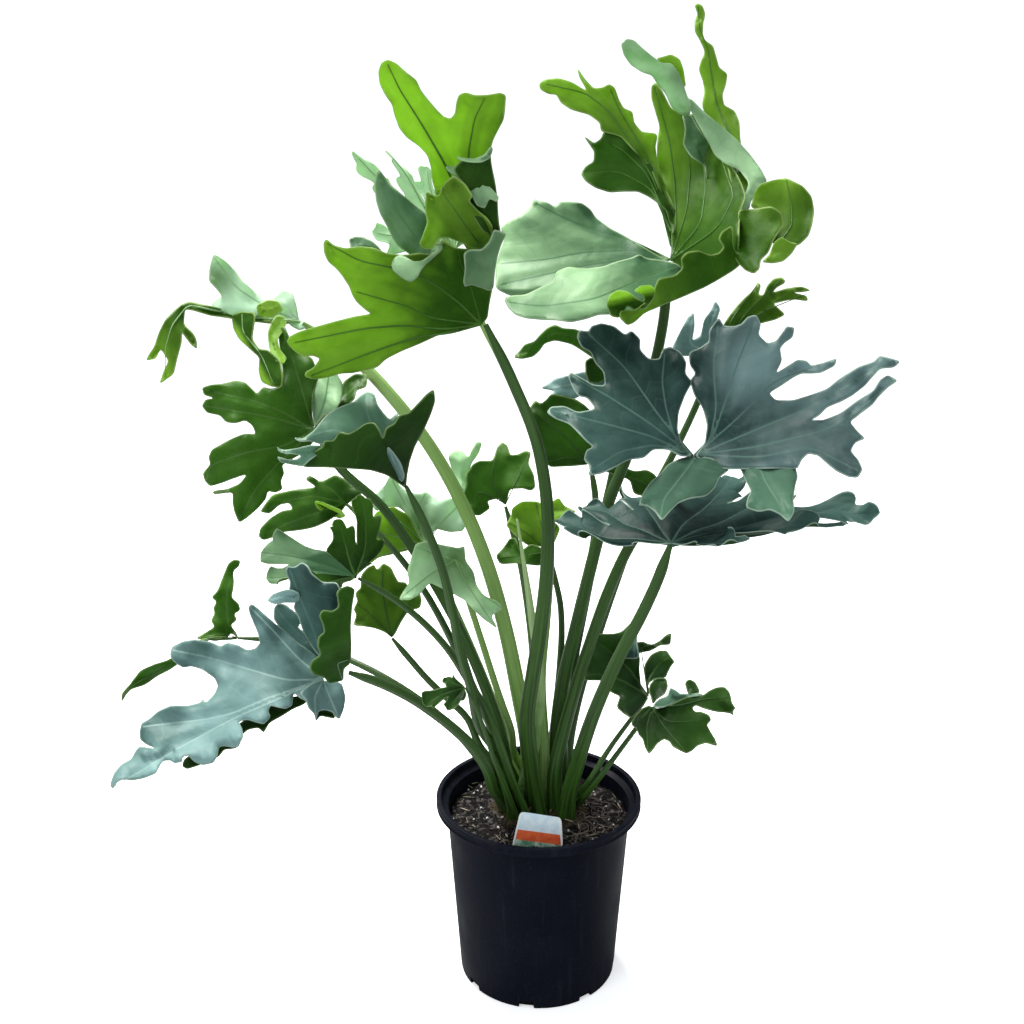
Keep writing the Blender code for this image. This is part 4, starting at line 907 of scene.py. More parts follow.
          730,300, 742,326, 700,356, 670,346], [798,310, 740,220, 770,100], [798,310, 700,260, 665,320],
         [798,310, 850,200, 885,125]),
        ("pale", "under", [(585, 130, .22, 1.2), (700, 85, .23, 1.1), (650, 260, .2, 1)],
         [583,130, 610,108, 640,115, 660,140, 688,78, 712,84, 700,122, 672,160, 660,200, 664,270, 640,262,
          618,240, 600,190]),
    ]),
    "mid_bright": ((480, 300, 3.125), [
        ("lime", "under", [(212, 787, .11, .3), (90, 690, .13, .6), (180, 630, .14, .7),
          (300, 660, .12, .8), (240, 730, .115, .6), (150, 720, .125, .5)],
         [80,705, 97,672, 100,650, 130,630, 175,628, 212,642, 245,616, 262,642, 302,660, 275,680, 228,690,
          252,712, 240,742, 216,792, 190,770, 150,768, 115,740], [212,787, 190,700, 175,635],
         [212,787, 150,730, 90,695], [212,787, 240,700, 292,662]),
        ("green", "under", [(212, 787, .112, .5), (50, 800, .1, .9), (95, 750, .11, .9),
          (150, 825, .09, .8)],
         [48,800, 75,770, 92,745, 112,742, 125,785, 160,760, 216,784, 192,832, 120,822, 62,826],
         [212,787, 130,800, 58,805]),
    ]),
    "mid_dark": ((480, 300, 3.125), [
        ("green", "under", [(344, 506, .13, .2), (150, 345, .15, .6), (420, 370, .14, .4),
          (205, 505, .12, .3), (290, 420, .135, 1), (215, 330, .15, .5)],
         [148,345, 160,330, 172,312, 190,324, 208,312, 222,294, 260,300, 300,310, 330,330, 345,345, 385,355,
          425,360, 440,440, 400,480, 350,510, 330,516, 280,519, 220,523, 202,505, 198,470, 180,430, 165,380],
         [344,506, 260,420, 165,345], [344,506, 280,490, 212,505], [344,506, 340,420, 330,345]),
        ("green", "under", [(344, 506, .132, .2), (470, 560, .12, .4), (555, 590, .115, .6),
          (500, 605, .115, .3)],
         [340,506, 400,500, 480,535, 522,530, 546,545, 567,575, 560,600, 512,613, 480,605, 468,562, 400,540],
         [344,506, 450,545, 545,585]),
    ]),
    "mid_back": ((480, 300, 3.125), [
        ("green", "upper", [(412, 234, .17, .6), (110, 178, .15, 1.2), (235, 80, .17, 1),
          (340, 118, .175, .9), (230, 124, .165, 1)],
         [104,178, 122,160, 140,138, 170,130, 192,104, 210,86, 235,76, 260,88, 300,90, 340,112, 420,150,
          432,236, 410,240, 380,200, 330,165, 285,138, 235,126, 202,136, 186,160, 165,178, 130,184],
         [412,234, 330,130, 240,100, 190,124, 118,170]),
        ("green", "under", [(412, 234, .172, .3), (345, 185, .17, .2), (330, 228, .165, .2)],
         [328,192, 346,178, 372,190, 416,232, 400,244, 370,262, 340,258, 330,230]),
        ("mist", "upper", [(412, 236, .175, .2), (190, 275, .16, .9), (250, 300, .155, .7),
          (300, 240, .17, .5)],
         [188,276, 214,260, 236,244, 276,235, 330,222, 410,230, 400,262, 330,290, 292,312, 240,297, 214,302,
          234,284], [412,236, 300,262, 205,276]),
    ]),
    "right_back": ((500, 270, 2.321), [
        ("lime", "under", [(501, 190, .15, 0), (530, 110, .155, .1), (598, 32, .17, .15),
          (658, 22, .17, .2), (715, 55, .16, .3), (650, 105, .15, .2), (570, 120, .15, 0)],
         [494,194, 498,165, 512,140, 530,108, 548,85, 570,62, 590,45, 597,28, 606,34, 600,58, 612,58,
          620,36, 634,20, 655,16, 664,28, 640,42, 634,52, 665,42, 700,38, 722,48, 700,52, 680,52, 712,60,
          716,72, 680,68, 650,74, 634,78, 650,92, 662,104, 640,115, 600,125, 560,140, 530,160, 506,196],
         [501,190, 540,110, 595,36], [501,190, 580,90, 654,22], [501,190, 600,100, 714,55]),
        ("mist", "upper", [(501, 190, .152, .2), (400, 180, .14, .7), (448, 102, .15, .9),
          (505, 74, .16, .8)],
         [506,196, 470,200, 420,200, 398,182, 420,140, 438,106, 450,98, 452,130, 446,165, 466,152, 474,115,
          490,94, 500,70, 512,90, 502,120, 496,150], [501,190, 440,175, 446,110], [501,190, 484,150, 502,80]),
    ]),
    "low_right_up": ((550, 600, 4.75), [
        ("dark", "upper", [(466, 455, .03, -.3), (190, 170, .06, .95), (577, 155, .1, .65),
          (115, 378, .03, .9), (388, 560, -.02, -.1), (300, 300, .06, .45)],
         [466,458, 440,425, 432,400, 425,330, 428,285, 424,250, 470,245, 490,236, 525,215, 573,212, 578,154,
          548,167, 525,191, 490,213, 465,207, 440,195, 414,202, 416,140, 431,99, 388,103, 340,150, 300,160,
          225,160, 192,165, 189,188, 200,208, 188,236, 158,256, 134,270, 158,300, 108,348, 115,379, 200,382,
          258,382, 262,405, 285,435, 333,456, 314,508, 350,540, 388,561, 430,520, 458,480],
         [466,455, 380,330, 300,260, 195,175], [466,455, 340,380, 230,350, 120,365],
         [466,455, 430,220, 500,215, 570,160]),
        ("dark", "upper", [(466, 455, .025, -.25), (555, 240, .07, 1.05), (592, 295, .06, 1)],
         [464,455, 455,400, 447,330, 452,298, 480,257, 520,239, 555,239, 570,262, 594,295, 577,312, 560,345,
          551,369, 500,373, 476,388, 463,404, 472,440], [466,455, 465,380, 510,310, 570,265]),
        ("blue", "upper", [(300, 278, .052, -.05), (425, 278, .05, .55), (430, 100, .078, .95)],
         [296,280, 426,280, 414,202, 416,140, 431,99, 388,103, 366,160, 335,220],
         [400,278, 402,200, 420,110]),
    ]),
    "low_right_down": ((550, 600, 4.75), [
        ("dark", "under", [(484, 510, -.03, -.1), (385, 590, -.03, -.05), (468, 728, -.09, .65),
          (650, 728, -.09, 1), (795, 693, -.08, 1.25), (882, 515, -.03, 1.3), (830, 412, -.01, 1.15),
          (600, 600, -.06, .4)],
         [486,508, 470,500, 440,512, 402,550, 384,590, 410,610, 420,640, 440,660, 450,700, 468,731, 490,710,
          510,680, 540,659, 566,670, 582,695, 620,715, 650,729, 680,712, 700,690, 740,677, 798,694, 785,660,
          760,620, 745,590, 767,570, 755,545, 720,530, 690,530, 676,515, 690,498, 730,514, 790,530, 850,535,
          874,552, 866,526, 884,515, 865,490, 855,440, 830,411, 790,414, 755,430, 730,450, 700,456, 650,458,
          600,482, 560,502, 510,516], [486,510, 560,580, 700,575], [486,510, 540,600, 640,715],
         [486,510, 620,500, 740,470, 870,460], [486,510, 460,600, 465,715]),
        ("fern", "upper", [(490, 500, -.035, .55), (570, 415, -.01, .95), (730, 450, -.02, .75)],
         [486,510, 500,484, 520,468, 558,455, 570,413, 602,430, 620,446, 700,440, 732,450, 655,462, 590,488,
          540,510]),
        ("dark", "upper", [(475, 400, 0, .35), (560, 410, 0, .45), (500, 465, -.02, .25)],
         [474,400, 500,371, 552,369, 562,410, 546,445, 508,470, 488,500, 478,455, 468,430]),
        ("dark", "upper", [(642, 390, -.005, .65), (710, 430, -.01, .45), (655, 440, -.012, .55)],
         [640,392, 660,374, 690,388, 712,430, 704,448, 655,446, 645,415]),
    ]),
}


class Veins:
    """A leaf's main veins, row by row from the joint to each tip, and the directions along them."""

    def __init__(self, one, rows, chance):
        joint, fine = spot(*one["joint"]), 60
        self.stops = 1 - (1 - np.arange(rows + 1) / rows) ** 1.25
        lines = [through([joint, *(spot(*s) for s in each["spots"])], fine + 1) for each in one["lobes"]]
        self.points = np.array([at_places(line, range(fine + 1), self.stops * fine) for line in lines])
        outward = unit(self.points[:, rows // 2] - joint)
        spread = outward[np.minimum(np.arange(len(lines)) + 1, len(lines) - 1)]
        spread = spread - outward[np.maximum(np.arange(len(lines)) - 1, 0)]
        spread = np.repeat(spread[:, None], rows + 1, axis=1)
        self.side = square_to(spread, self.ahead())
        t = self.stops[:, None]
        for line, side in zip(self.points, self.side):
            sway = chance.uniform(-1, 1) * VEIN_SWAY * np.linalg.norm(line[-1] - joint)
            line += side * sway * (4 * t ** 3 * (1 - t) - 1.2 * t * (1 - t) ** 2)
        self.side = square_to(spread, self.ahead())
        self.normal = np.cross(self.ahead(), self.side)
        self.far = np.array([along_line(line) for line in self.points])

    def ahead(self):
        """The direction along each vein at each row."""
        after = np.concatenate([self.points[:, 1:], self.points[:, -1:]], axis=1)
        before = np.concatenate([self.points[:, :1], self.points[:, :-1]], axis=1)
        return unit(after - before)


def half_lobe(veins, one, k, way, columns, chance):
    """The half of lobe k on one side of its vein, as a grid of points with their numbers.

    Up to its sinus it reaches to the middle between its vein and the next. Past the sinus its
    margin swings out in secondary lobes that point forward, and the sheet bends as it goes out:
    a fold at the vein, a slow curl, and a ruffle in step with the secondary lobes.
    """
    rows = len(veins.stops) - 1
    each = one["lobes"][k]
    cut, ruffle, curling = MARGINS[one["tone"]]
    cut = each["cut"] or cut
    other = k + way
    webbed = 0 <= other < len(one["lobes"])
    web = one["lobes"][min(k, other)]["web"] if webbed else 0
    start = max(1, min(rows - 2, round(rows * (1 - (1 - web) ** 0.8)))) if webbed else 0
    out = (np.arange(columns + 1) / columns)[None, :, None]
    vein, normal, far = veins.points[k], veins.normal[k], veins.far[k]
    length = far[-1]
    grid = np.repeat(vein[:, None], columns + 1, axis=1)
    reach = np.zeros(rows + 1)
    if webbed:
        gap = veins.points[other] - vein
        apart = np.linalg.norm(gap, axis=1)
        fold = unit(normal + veins.normal[other] * 0.999) * apart[:, None] * WEB_FOLD
        middle = gap[:, None] * out / 2 + fold[:, None] * np.sin(out * math.pi / 2)
        reach[:start + 1] = apart[:start + 1] / 2
        grid[:start + 1] = (vein[:, None] + middle)[:start + 1]
        corner = gap[start] / 2 + fold[start]

    # The margin past the sinus, in secondary lobes that narrow towards the tip
    free = np.clip((veins.stops - veins.stops[start]) / (1 - veins.stops[start]), 0, 1)
    past = np.maximum(far - far[start], 0)
    turns = past / (TOOTH_PITCH + TOOTH_PITCH_SHARE * length) + chance.uniform(-0.25, 0.25)
    tooth = np.sin(math.pi * (turns % 1.0) ** (1.3 + cut)) ** 0.8
    width = each["half_width"] * LOBE_FULL * (1 - free ** 2.6) ** 0.72
    width = width * (1 + cut * (tooth - 0.60) * ease(free / 0.15) * (1 - free ** 3.5))
    mix = ease(free / SINUS_OPENS)[:, None]
    if webbed:
        width = np.minimum(width, LOBE_SPACE * apart)
        edge = corner * (1 - mix) * ((1 - free ** 3.2) ** 0.6)[:, None]
        edge = edge + veins.side[k] * way * width[:, None] * mix
    else:
        edge = veins.side[k] * way * (width * mix[:, 0] ** 0.7)[:, None]
    lean = np.minimum(width * mix[:, 0] * (LOBE_LEAN + cut * 0.7 * tooth), 0.6 * (length - far))
    edge = edge + veins.ahead()[k] * lean[:, None]
    broad = np.linalg.norm(edge, axis=1)
    reach[start + 1:] = broad[start + 1:]

    # How the sheet bends from the vein out to the margin
    steps = (np.arange(columns) + 0.5)[None] / columns
    curl = curling * (chance.uniform(*CURL) + 0.45 * np.sin(math.tau * (free * 0.9 + chance.random())))
    sway = np.cos(math.pi * turns + chance.uniform(0, math.tau)) * 0.8 + np.cos(math.tau * turns + 2.4) * 0.5
    bend = SHINGLE * way + LOBE_CUP + curl[:, None] * steps ** 1.6
    bend = (bend + ruffle * sway[:, None] * steps ** 2.2) * ease(free / 0.22)[:, None]
    flat = edge / np.maximum(broad, 1e-7)[:, None]
    hops = np.cos(bend)[:, :, None] * flat[:, None] + np.sin(bend)[:, :, None] * normal[:, None]
    loose = np.cumsum(hops, axis=1) * (broad / columns)[:, None, None]
    begin = start + 1 if webbed else 1
    grid[begin:, 1:] = (vein[:, None] + loose)[begin:]

    inward = reach[:, None] * (1 - out[:, :, 0])
    to_edge = np.where(np.arange(rows + 1)[:, None] >= start, inward,
                       np.hypot((far[start] - far)[:, None], inward))
    along = np.repeat((far + SIDE_VEIN_SHIFT * (way < 0))[:, None], columns + 1, axis=1)
    share = np.repeat((far / length)[:, None], columns + 1, axis=1)
    return grid, dict(across=reach[:, None] * out[:, :, 0], along=along, share=share, margin=to_edge)


def blade_mesh(name, one, rows, columns):
    """A leaf's blade as a thin closed sheet, its upper face, underside and rim kept apart."""
    chance = random.Random(name)
    veins = Veins(one, rows, chance)
    points, faces, slots, numbers = [], [], [], {}
    tones = sorted({each["tone"] or one["tone"] for each in one["lobes"]})
    for k, each in enumerate(one["lobes"]):
        # Each lobe's painted light and shade with its tone; a random value where the table gives none
        painted_light_and_tone = chance.uniform(0.35, 0.65) if each["painted_light_and_tone"] is None else each["painted_light_and_tone"]
        for way in (-1, 1):
            grid, found = half_lobe(veins, one, k, way, columns, chance)
            index = len(points) + np.arange(grid.shape[0] * grid.shape[1]).reshape(grid.shape[:2])
            points.extend(grid.reshape(-1, 3))
            found.update(tint=np.full(index.shape, painted_light_and_tone * 0.8 + 0.08), fold=np.full(index.shape, painted_light_and_tone * 9))
            for key, values in found.items():
                numbers.setdefault(key, []).extend(np.ravel(values))
            slots += [3 * tones.index(each["tone"] or one["tone"])] * rows * columns
            for i in range(rows):
                for j in range(columns):
                    ring = [index[i, j], index[i + 1, j], index[i + 1, j + 1], index[i, j + 1]]
                    if i in (0, rows - 1):
                        del ring[2 if i else 3]
                    faces.append([int(v) for v in ring[::way]])
    blade = mesh_object(f"leaf_{name}", gently_waved(np.array(points), veins), faces, numbers, slots)
    for tone in tones:
        for finish in (BLADE_TOP, BLADE_UNDER, BLADE_RIM):
            blade.data.materials.append(finish[tone])
    return thickened(blade), veins


def rounded_line(corners, closed):
    """The line through the corners with its corners cut off twice."""
    line = np.array(corners, float).reshape(-1, 2)
    kept = 1 - CORNER_CUT
    for _ in range(2):
        after = np.roll(line, -1, axis=0) if closed else line[1:]
        here = line if closed else line[:-1]
        ends = [here * kept + after * CORNER_CUT, here * CORNER_CUT + after * kept]
        ends = np.stack(ends, axis=1).reshape(-1, 2)
        line = ends if closed else np.vstack([line[:1], ends, line[-1:]])
    return line


def evenly(line, pitch):
    """The line again, as points about `pitch` apart."""
    far = along_line(line)
    return at_places(line, far, np.linspace(0, far[-1], max(3, round(far[-1] / pitch)) + 1))


def nearest_on(points, line):
    """Each point's distance to the line, and how far along the line the nearest place is."""
    start, hop = line[:-1], np.diff(line, axis=0)
    t = np.clip(np.sum((points[:, None] - start) * hop, axis=2) / np.sum(hop * hop, axis=1), 0, 1)
    gap = np.linalg.norm(points[:, None] - start - t[..., None] * hop, axis=2)
    best, row = gap.argmin(axis=1), np.arange(len(points))
    return gap[row, best], along_line(line)[best] + t[row, best] * np.linalg.norm(hop, axis=1)[best]


def smooth_through(known, values):
    """A function of the picture's pixels that passes smoothly through the values at the known
    places, as a thin plate would. It works in hundreds of pixels, which keeps its matrix even."""
    known = known / 100

    def bend(apart):
        return apart ** 2 * np.log(apart + 1e-9)

    def flat(places):
        return np.column_stack([np.ones(len(places)), places])

    matrix = np.block([[bend(np.linalg.norm(known[:, None] - known, axis=2)), flat(known)],
                       [flat(known).T, np.zeros((3, 3))]])
    goal = np.vstack([values, np.zeros((3, values.shape[1]))])
    weights = np.linalg.lstsq(matrix, goal, rcond=None)[0]

    def at(places):
        places = places / 100
        apart = np.linalg.norm(places[:, None] - known, axis=2)
        return np.hstack([bend(apart), flat(places)]) @ weights
    return at


def sheet_mesh(edge, lines):
    """Places over the outline's inside, with the edge's and the veins' own among them, and faces."""
    low, high = edge.min(axis=0), edge.max(axis=0)
    pitch = np.clip((high - low).min() / INNER_ROWS, *INNER_PITCH)
    right, down = np.meshgrid(*(np.arange(low[axis], high[axis], pitch) for axis in (0, 1)))
    inside = np.column_stack([right.ravel(), down.ravel()])
    for line in lines:
        inside = np.vstack([inside[nearest_on(inside, line)[0] > VEIN_MARGIN], line])
    inside = inside[nearest_on(inside, edge)[0] > pitch * EDGE_MARGIN]
    corners = [Vector(p) for p in np.vstack([edge[:-1], inside]) * (1, -1)]
    rim = list(range(len(edge) - 1))
    places, _, faces, *_ = geometry.delaunay_2d_cdt(corners, [], [rim], 1, 1e-4)
    return np.array([tuple(p) for p in places]) * (1, -1), [list(f) for f in faces]


def traced_sheet(name, close_up, tone, face, spots, outline, *veins):
    """A thin sheet with a traced outline, and the lines and radii of the ribs under it.

    The close-up gives the picture's pixel at its top left corner and its scale. Each spot has the
    close-up's right and down, the distance behind the pot's axis, and a value that paints light and
    shade there along with the leaf's tone.
    """
    left, top, scale = close_up
    origin = np.array((left, top))
    known = np.array([s[:2] for s in spots]) / scale + origin
    rest = smooth_through(known, np.array([s[2:] for s in spots]))
    nearest, farthest = (extreme(s[2] for s in spots) for extreme in (min, max))
    edge = rounded_line(outline, True)
    edge = evenly(np.vstack([edge, edge[:1]]), EDGE_PITCH * scale) / scale + origin
    lines = [evenly(rounded_line(vein, False) / scale + origin, VEIN_PITCH) for vein in veins]
    places, faces = sheet_mesh(edge, lines)
    toward = (-1 if face == "upper" else 1) * bool(lines)

    def waved(places):
        """How far behind the axis the waved sheet is, its painted light and shade, and how far vein and
        margin are.
        """
        # The painted light and shade run smoothly between the spots, as the depth does
        behind, painted_light_and_tone = rest(places).T
        behind = np.clip(behind, nearest - DEPTH_SLACK, farthest + DEPTH_SLACK)
        across = np.full(len(places), NO_VEIN)
        if lines:
            across = np.min([nearest_on(places, line)[0] for line in lines], axis=0) * PIXEL
        margin, round_edge = (found * PIXEL for found in nearest_on(places, edge))
        swell = SWELL_HEIGHT * (1 - np.exp(-(across / SWELL_WIDTH) ** 2)) * np.minimum(margin / SWELL_FADE, 1)
        ruffle = RUFFLE_HEIGHT * np.clip(1 - margin / RUFFLE_WIDTH, 0, 1) ** 2
        ruffle = ruffle * sum(high * np.sin(round_edge * turn + begin) for turn, begin, high in RUFFLE_WAVES)
        return behind + toward * swell + ruffle, painted_light_and_tone, across, margin

    behind, painted_light_and_tone, across, margin = waved(places)
    along = np.linalg.norm(places - known[0], axis=1) * PIXEL
    points = [spot(x, y, b) for (x, y), b in zip(places, behind)]
    share, fold = (np.full(len(places), value) for value in (SHEET_SHARE, spots[0][0] / 40))
    # The painted light and shade go on each point with its other numbers
    numbers = dict(across=across, along=along, margin=margin, tint=painted_light_and_tone, share=share, fold=fold)
    sheet = mesh_object(f"{name}_sheet", points, faces, numbers)
    faced, back = (BLADE_TOP, BLADE_UNDER) if face == "upper" else (BLADE_UNDER, BLADE_TOP)
    for finish in (faced, back, BLADE_RIM):
        sheet.data.materials.append(finish[tone])
    ribs = []
    for line in lines:
        t = np.linspace(0, 1, len(line))
        radii = (1 - t) ** 0.9 * min(RIB_SHARE * along_line(line)[-1] * PIXEL, RIB_MOST) + RIB_TIP
        depth = waved(line)[0] + RIB_CLEAR[face] + radii * (face == "upper")
        ribs.append((np.array([spot(x, y, b) for (x, y), b in zip(line, depth)]), radii))
    return thickened(sheet), ribs


def gently_waved(points, veins):
    """The points lifted up and down a little in slow waves, least at the joint."""
    size = veins.far[:, -1].mean()
    away = np.linalg.norm(points - veins.points[0, 0], axis=1)
    phase = points / size
    wave = (np.sin(phase @ (9.0, 4.0, 3.0)) + np.sin(phase @ (-5.0, 8.0, 5.0) + 1.3)
            + 0.6 * np.sin(phase @ (14.0, -11.0, 9.0) + 0.4))
    points[:, 2] += SLOW_WAVE * size * wave * ease(away / size * 2.5)
    return points


def rib_splines(veins):
    """The lines and radii of the ribs that stand out under a blade."""
    found = []
    for line, normal, far in zip(veins.points, veins.normal, veins.far):
        keep = slice(0, int(len(far) * 0.9), 2)
        radius = RIB_SHARE * far[-1] * 0.9 * (1 - far / far[-1]) ** 0.9 + RIB_TIP
        sunk = gently_waved(line.copy(), veins) - normal * (radius * 0.85 + BLADE_THICK)[:, None]
        found.append((sunk[keep], radius[keep]))
    return found


# Swept stems


def swept_stem_tree():
    """Sweeps a lightly grooved round profile along lines, as thick as their radius at each point."""
    inputs = {"Centre Lines": SHAPE, "Sides": WHOLE, "Groove": NUMBER, "Stem Finish": FINISH}
    n, given, out = new_group("Swept Stem", "GeometryNodeTree", inputs, {"Stem": SHAPE})
    spline = n.add("GeometryNodeSplineParameter").outputs
    marked = n.marked(given["Centre Lines"], "far", spline["Length"])
    marked = n.marked(marked, "share", spline["Factor"])
    values = {"Resolution": given["Sides"], "Radius": 1.0}
    profile = n.add("GeometryNodeCurvePrimitiveCircle", values).outputs[0]
    place = n.add("GeometryNodeInputPosition").outputs[0]
    parts = n.parts(place)
    side = n.maths("DIVIDE", parts[0], 0.42)
    dip = n.maths("POWER", 2.718, n.times(n.times(side, side), -1.0))
    depth = n.times(n.times(dip, n.maths("GREATER_THAN", parts[1], 0.0)), given["Groove"])
    sink = n.vector(y=n.minus(0.0, depth))
    grooved = n.add("GeometryNodeSetPosition", {"Geometry": profile, "Offset": sink}).outputs[0]
    grooved = n.marked(grooved, "around", place, "FLOAT_VECTOR")
    swept = n.add("GeometryNodeCurveToMesh", {"Curve": marked, "Profile Curve": grooved, "Fill Caps": True,
                                              "Scale": n.add("GeometryNodeInputRadius").outputs[0]})
    return n.finished(swept.outputs[0], given["Stem Finish"], out, "Stem")


def shaped(piece, tree, values):
    """Run a geometry tree on the piece with its named inputs set, and keep the plain result."""
    modifier = piece.modifiers.new(tree.name, "NODES")
    modifier.node_group = tree
    identifiers = {item.name: item.identifier for item in tree.interface.items_tree if item.in_out == "INPUT"}
    for key, value in values.items():
        modifier[identifiers[key]] = value
    return settled(piece)


def stem_lines(name, splines):
    """Poly lines with a radius at each of their points."""
    curve = bpy.data.curves.new(name, "CURVE")
    curve.dimensions = "3D"
    for line, radii in splines:
        spline = curve.splines.new("POLY")
        spline.points.add(len(line) - 1)
        for point, at, radius in zip(spline.points, line, radii):
            point.co = (*at, 1)
            point.radius = radius
    return linked(name, curve)


def swept(name, splines, finish, sides, groove=0.0):
    """One round stem along each line."""
    values = {"Sides": sides, "Groove": groove, "Stem Finish": finish}
    stem = shaped(stem_lines(name, splines), SWEPT_STEM, values)
    stem.data.shade_smooth()
    return stem


def stalk_radius(stem, t):
    """The stalk's radius at the share t of its length from its foot to the blade."""
    top, foot = stem[0] / 1000, stem[1] / 1000
    return foot + (top - foot) * t ** 0.8


def stalk_lines():
    """Each stalk's centre line from its foot up, pushed apart where two of them would meet."""
    ground = MIX_LEVEL + CROWN_RISE + SEAT
    routes = [(one["foot"], [*one["route"][::-1], one["joint"]]) for one in LEAVES.values()]
    routes.append((SPEAR_FOOT, SPEAR_ROUTE))
    lines = np.array([through([np.array((*(v / 1000 for v in foot), ground)), *(spot(*s) for s in route)],
                              STALK_POINTS) for foot, route in routes])
    stems = [one["stem"] for one in LEAVES.values()] + [(SPEAR_RADII[-1], SPEAR_RADII[0])]
    steps = np.linspace(0, STALK_POINTS - 1, (STALK_POINTS - 1) * STALK_SAMPLES + 1)
    low = np.minimum(steps.astype(int), STALK_POINTS - 2)
    weight = np.zeros((len(steps), STALK_POINTS))
    weight[range(len(steps)), low] = 1 - (steps - low)
    weight[range(len(steps)), low + 1] = steps - low
    radii = np.array([[stalk_radius(stem, t / (STALK_POINTS - 1)) for t in steps] for stem in stems])
    hold = np.ones(STALK_POINTS)
    hold[-2:] = 0.5, 0.0
    for _ in range(RELAX_ROUNDS):
        samples = weight @ lines
        push = np.zeros_like(samples)
        for a in range(len(lines)):
            for b in range(a + 1, len(lines)):
                apart = samples[a][:, None] - samples[b][None]
                distance = np.linalg.norm(apart, axis=2)
                short = radii[a][:, None] + radii[b][None] + STALK_GAP - distance
                if short.max() <= 0:
                    continue
                i, j = np.unravel_index(short.argmax(), short.shape)
                away = apart[i, j] / max(distance[i, j], 1e-6) * short[i, j] * RELAX_SHARE
                push[a][i] += away
                push[b][j] -= away
        if not push.any():
            break
        move = np.einsum("sp,nsd->npd", weight, push) * hold[None, :, None]
        move[:, 0, 2] = 0.0
        lines = lines + move
    return dict(zip([*LEAVES, "spear"], lines))


# Pot, mix, crown and label


def circle(centre, radius, steps):
    """Places in turn round a circle."""
    angles = [k * math.tau / steps for k in range(steps)]
    return [(centre[0] + radius * math.cos(a), centre[1] + radius * math.sin(a)) for a in angles]


def turned(name, outline, steps):
    """A closed profile turned about the Z axis, its ends on the axis."""
    points = [(r * x, r * y, z) for x, y in circle((0.0, 0.0), 1.0, steps) for r, z in outline]
    count, faces = len(outline), []
    for k in range(steps):
        here, there = k * count, (k + 1) % steps * count
        for i in range(count - 1):
            faces.append((here + i, here + i + 1, there + i + 1, there + i))
    return mesh_object(name, points, faces)


def facing_out(piece):
    """Turn the closed body's faces outwards, without its faces that have no area."""
    shape = bmesh.new()
    shape.from_mesh(piece.data)
    bmesh.ops.dissolve_degenerate(shape, dist=1e-6, edges=shape.edges)
    bmesh.ops.recalc_face_normals(shape, faces=shape.faces)
    shape.to_mesh(piece.data)
    shape.free()


def bead(centre_r, centre_z, radius, start, end, count):
    """Points round part of a rounded edge, between two directions in degrees."""
    return [(centre_r + radius * math.cos(math.radians(a)), centre_z + radius * math.sin(math.radians(a)))
            for a in np.linspace(start, end, count)]


def notch_cutter(k):
    """A block, a little narrower above, that cuts one drain notch."""
    angle = FIRST_NOTCH + k * math.tau / DRAIN_NOTCHES
    out = np.array((math.cos(angle), math.sin(angle), 0.0))
    side = np.array((-math.sin(angle), math.cos(angle), 0.0))
    corners = [out * (BASE_RADIUS + x * NOTCH_DEPTH) + side * y * NOTCH_WIDTH / 2 * (1 - 0.25 * (z > 0))
               + np.array((0.0, 0.0, z * NOTCH_HEIGHT))
               for z in (-1, 1) for x, y in ((-1, -1), (1, -1), (1, 1), (-1, 1))]
    faces = [(3, 2, 1, 0), (4, 5, 6, 7), (0, 1, 5, 4), (1, 2, 6, 5), (2, 3, 7, 6), (3, 0, 4, 7)]
    return mesh_object(f"notch_{k}", corners, faces)


def build_pot():
    """The pot, with a two-ringed lip, a stiffening step and notches through the foot of its wall."""
    foot_z = POT_HEIGHT - LIP_HEIGHT
    ring = 0.0011
    outline = [(0.0, POT_FLOOR), (BASE_RADIUS - POT_WALL - 0.003, POT_FLOOR),
               (BASE_RADIUS - POT_WALL - 0.0008, POT_FLOOR + 0.0008)]
    outline += [(BASE_RADIUS + WALL_SLOPE * z - POT_WALL, z) for z in np.linspace(0.006, foot_z - 0.004, 12)]
    outline += [(WALL_TOP_RADIUS - POT_WALL + 0.0004, foot_z), (RIM_RADIUS - 0.0058, foot_z + 0.0025),
                (RIM_RADIUS - 0.0052, POT_HEIGHT - 0.0022)]
    outline += bead(RIM_RADIUS - 0.0040, POT_HEIGHT - ring, ring, 175, 95, 6)
    outline += bead(RIM_RADIUS - ring, POT_HEIGHT - ring, ring, 85, -30, 9)
    outline += [(RIM_RADIUS - 0.0008, POT_HEIGHT - 0.0030), (RIM_RADIUS - 0.0009, foot_z + 0.0026)]
    outline += bead(RIM_RADIUS - ring, foot_z + ring, ring, 30, -95, 9)
    outline += [(RIM_RADIUS - 0.0034, foot_z + 0.0005), (WALL_TOP_RADIUS + 0.0016, foot_z - 0.0003),
                (WALL_TOP_RADIUS + 0.0002, foot_z - 0.0016)]
    outline += [(BASE_RADIUS + WALL_SLOPE * z, z) for z in np.linspace(foot_z - 0.006, 0.004, 14)]
    outline += bead(BASE_RADIUS - 0.0016, 0.0016, 0.0016, 0, -90, 6) + [(0.0, 0.0)]
    pot = turned("pot", outline, 160)
    facing_out(pot)
    cutters = [notch_cutter(k) for k in range(DRAIN_NOTCHES)]
    for cutter in cutters:
        cut = pot.modifiers.new(cutter.name, "BOOLEAN")
        cut.operation = "DIFFERENCE"
        cut.solver = "EXACT"
        cut.object = cutter
    pot.data.materials.append(pot_plastic())
    pot = settled(pot)
    for cutter in cutters:
        bpy.data.objects.remove(cutter)
    pot.data.set_sharp_from_angle(angle=math.radians(40))
    belongs(pot, "pot_plastic", "pot")


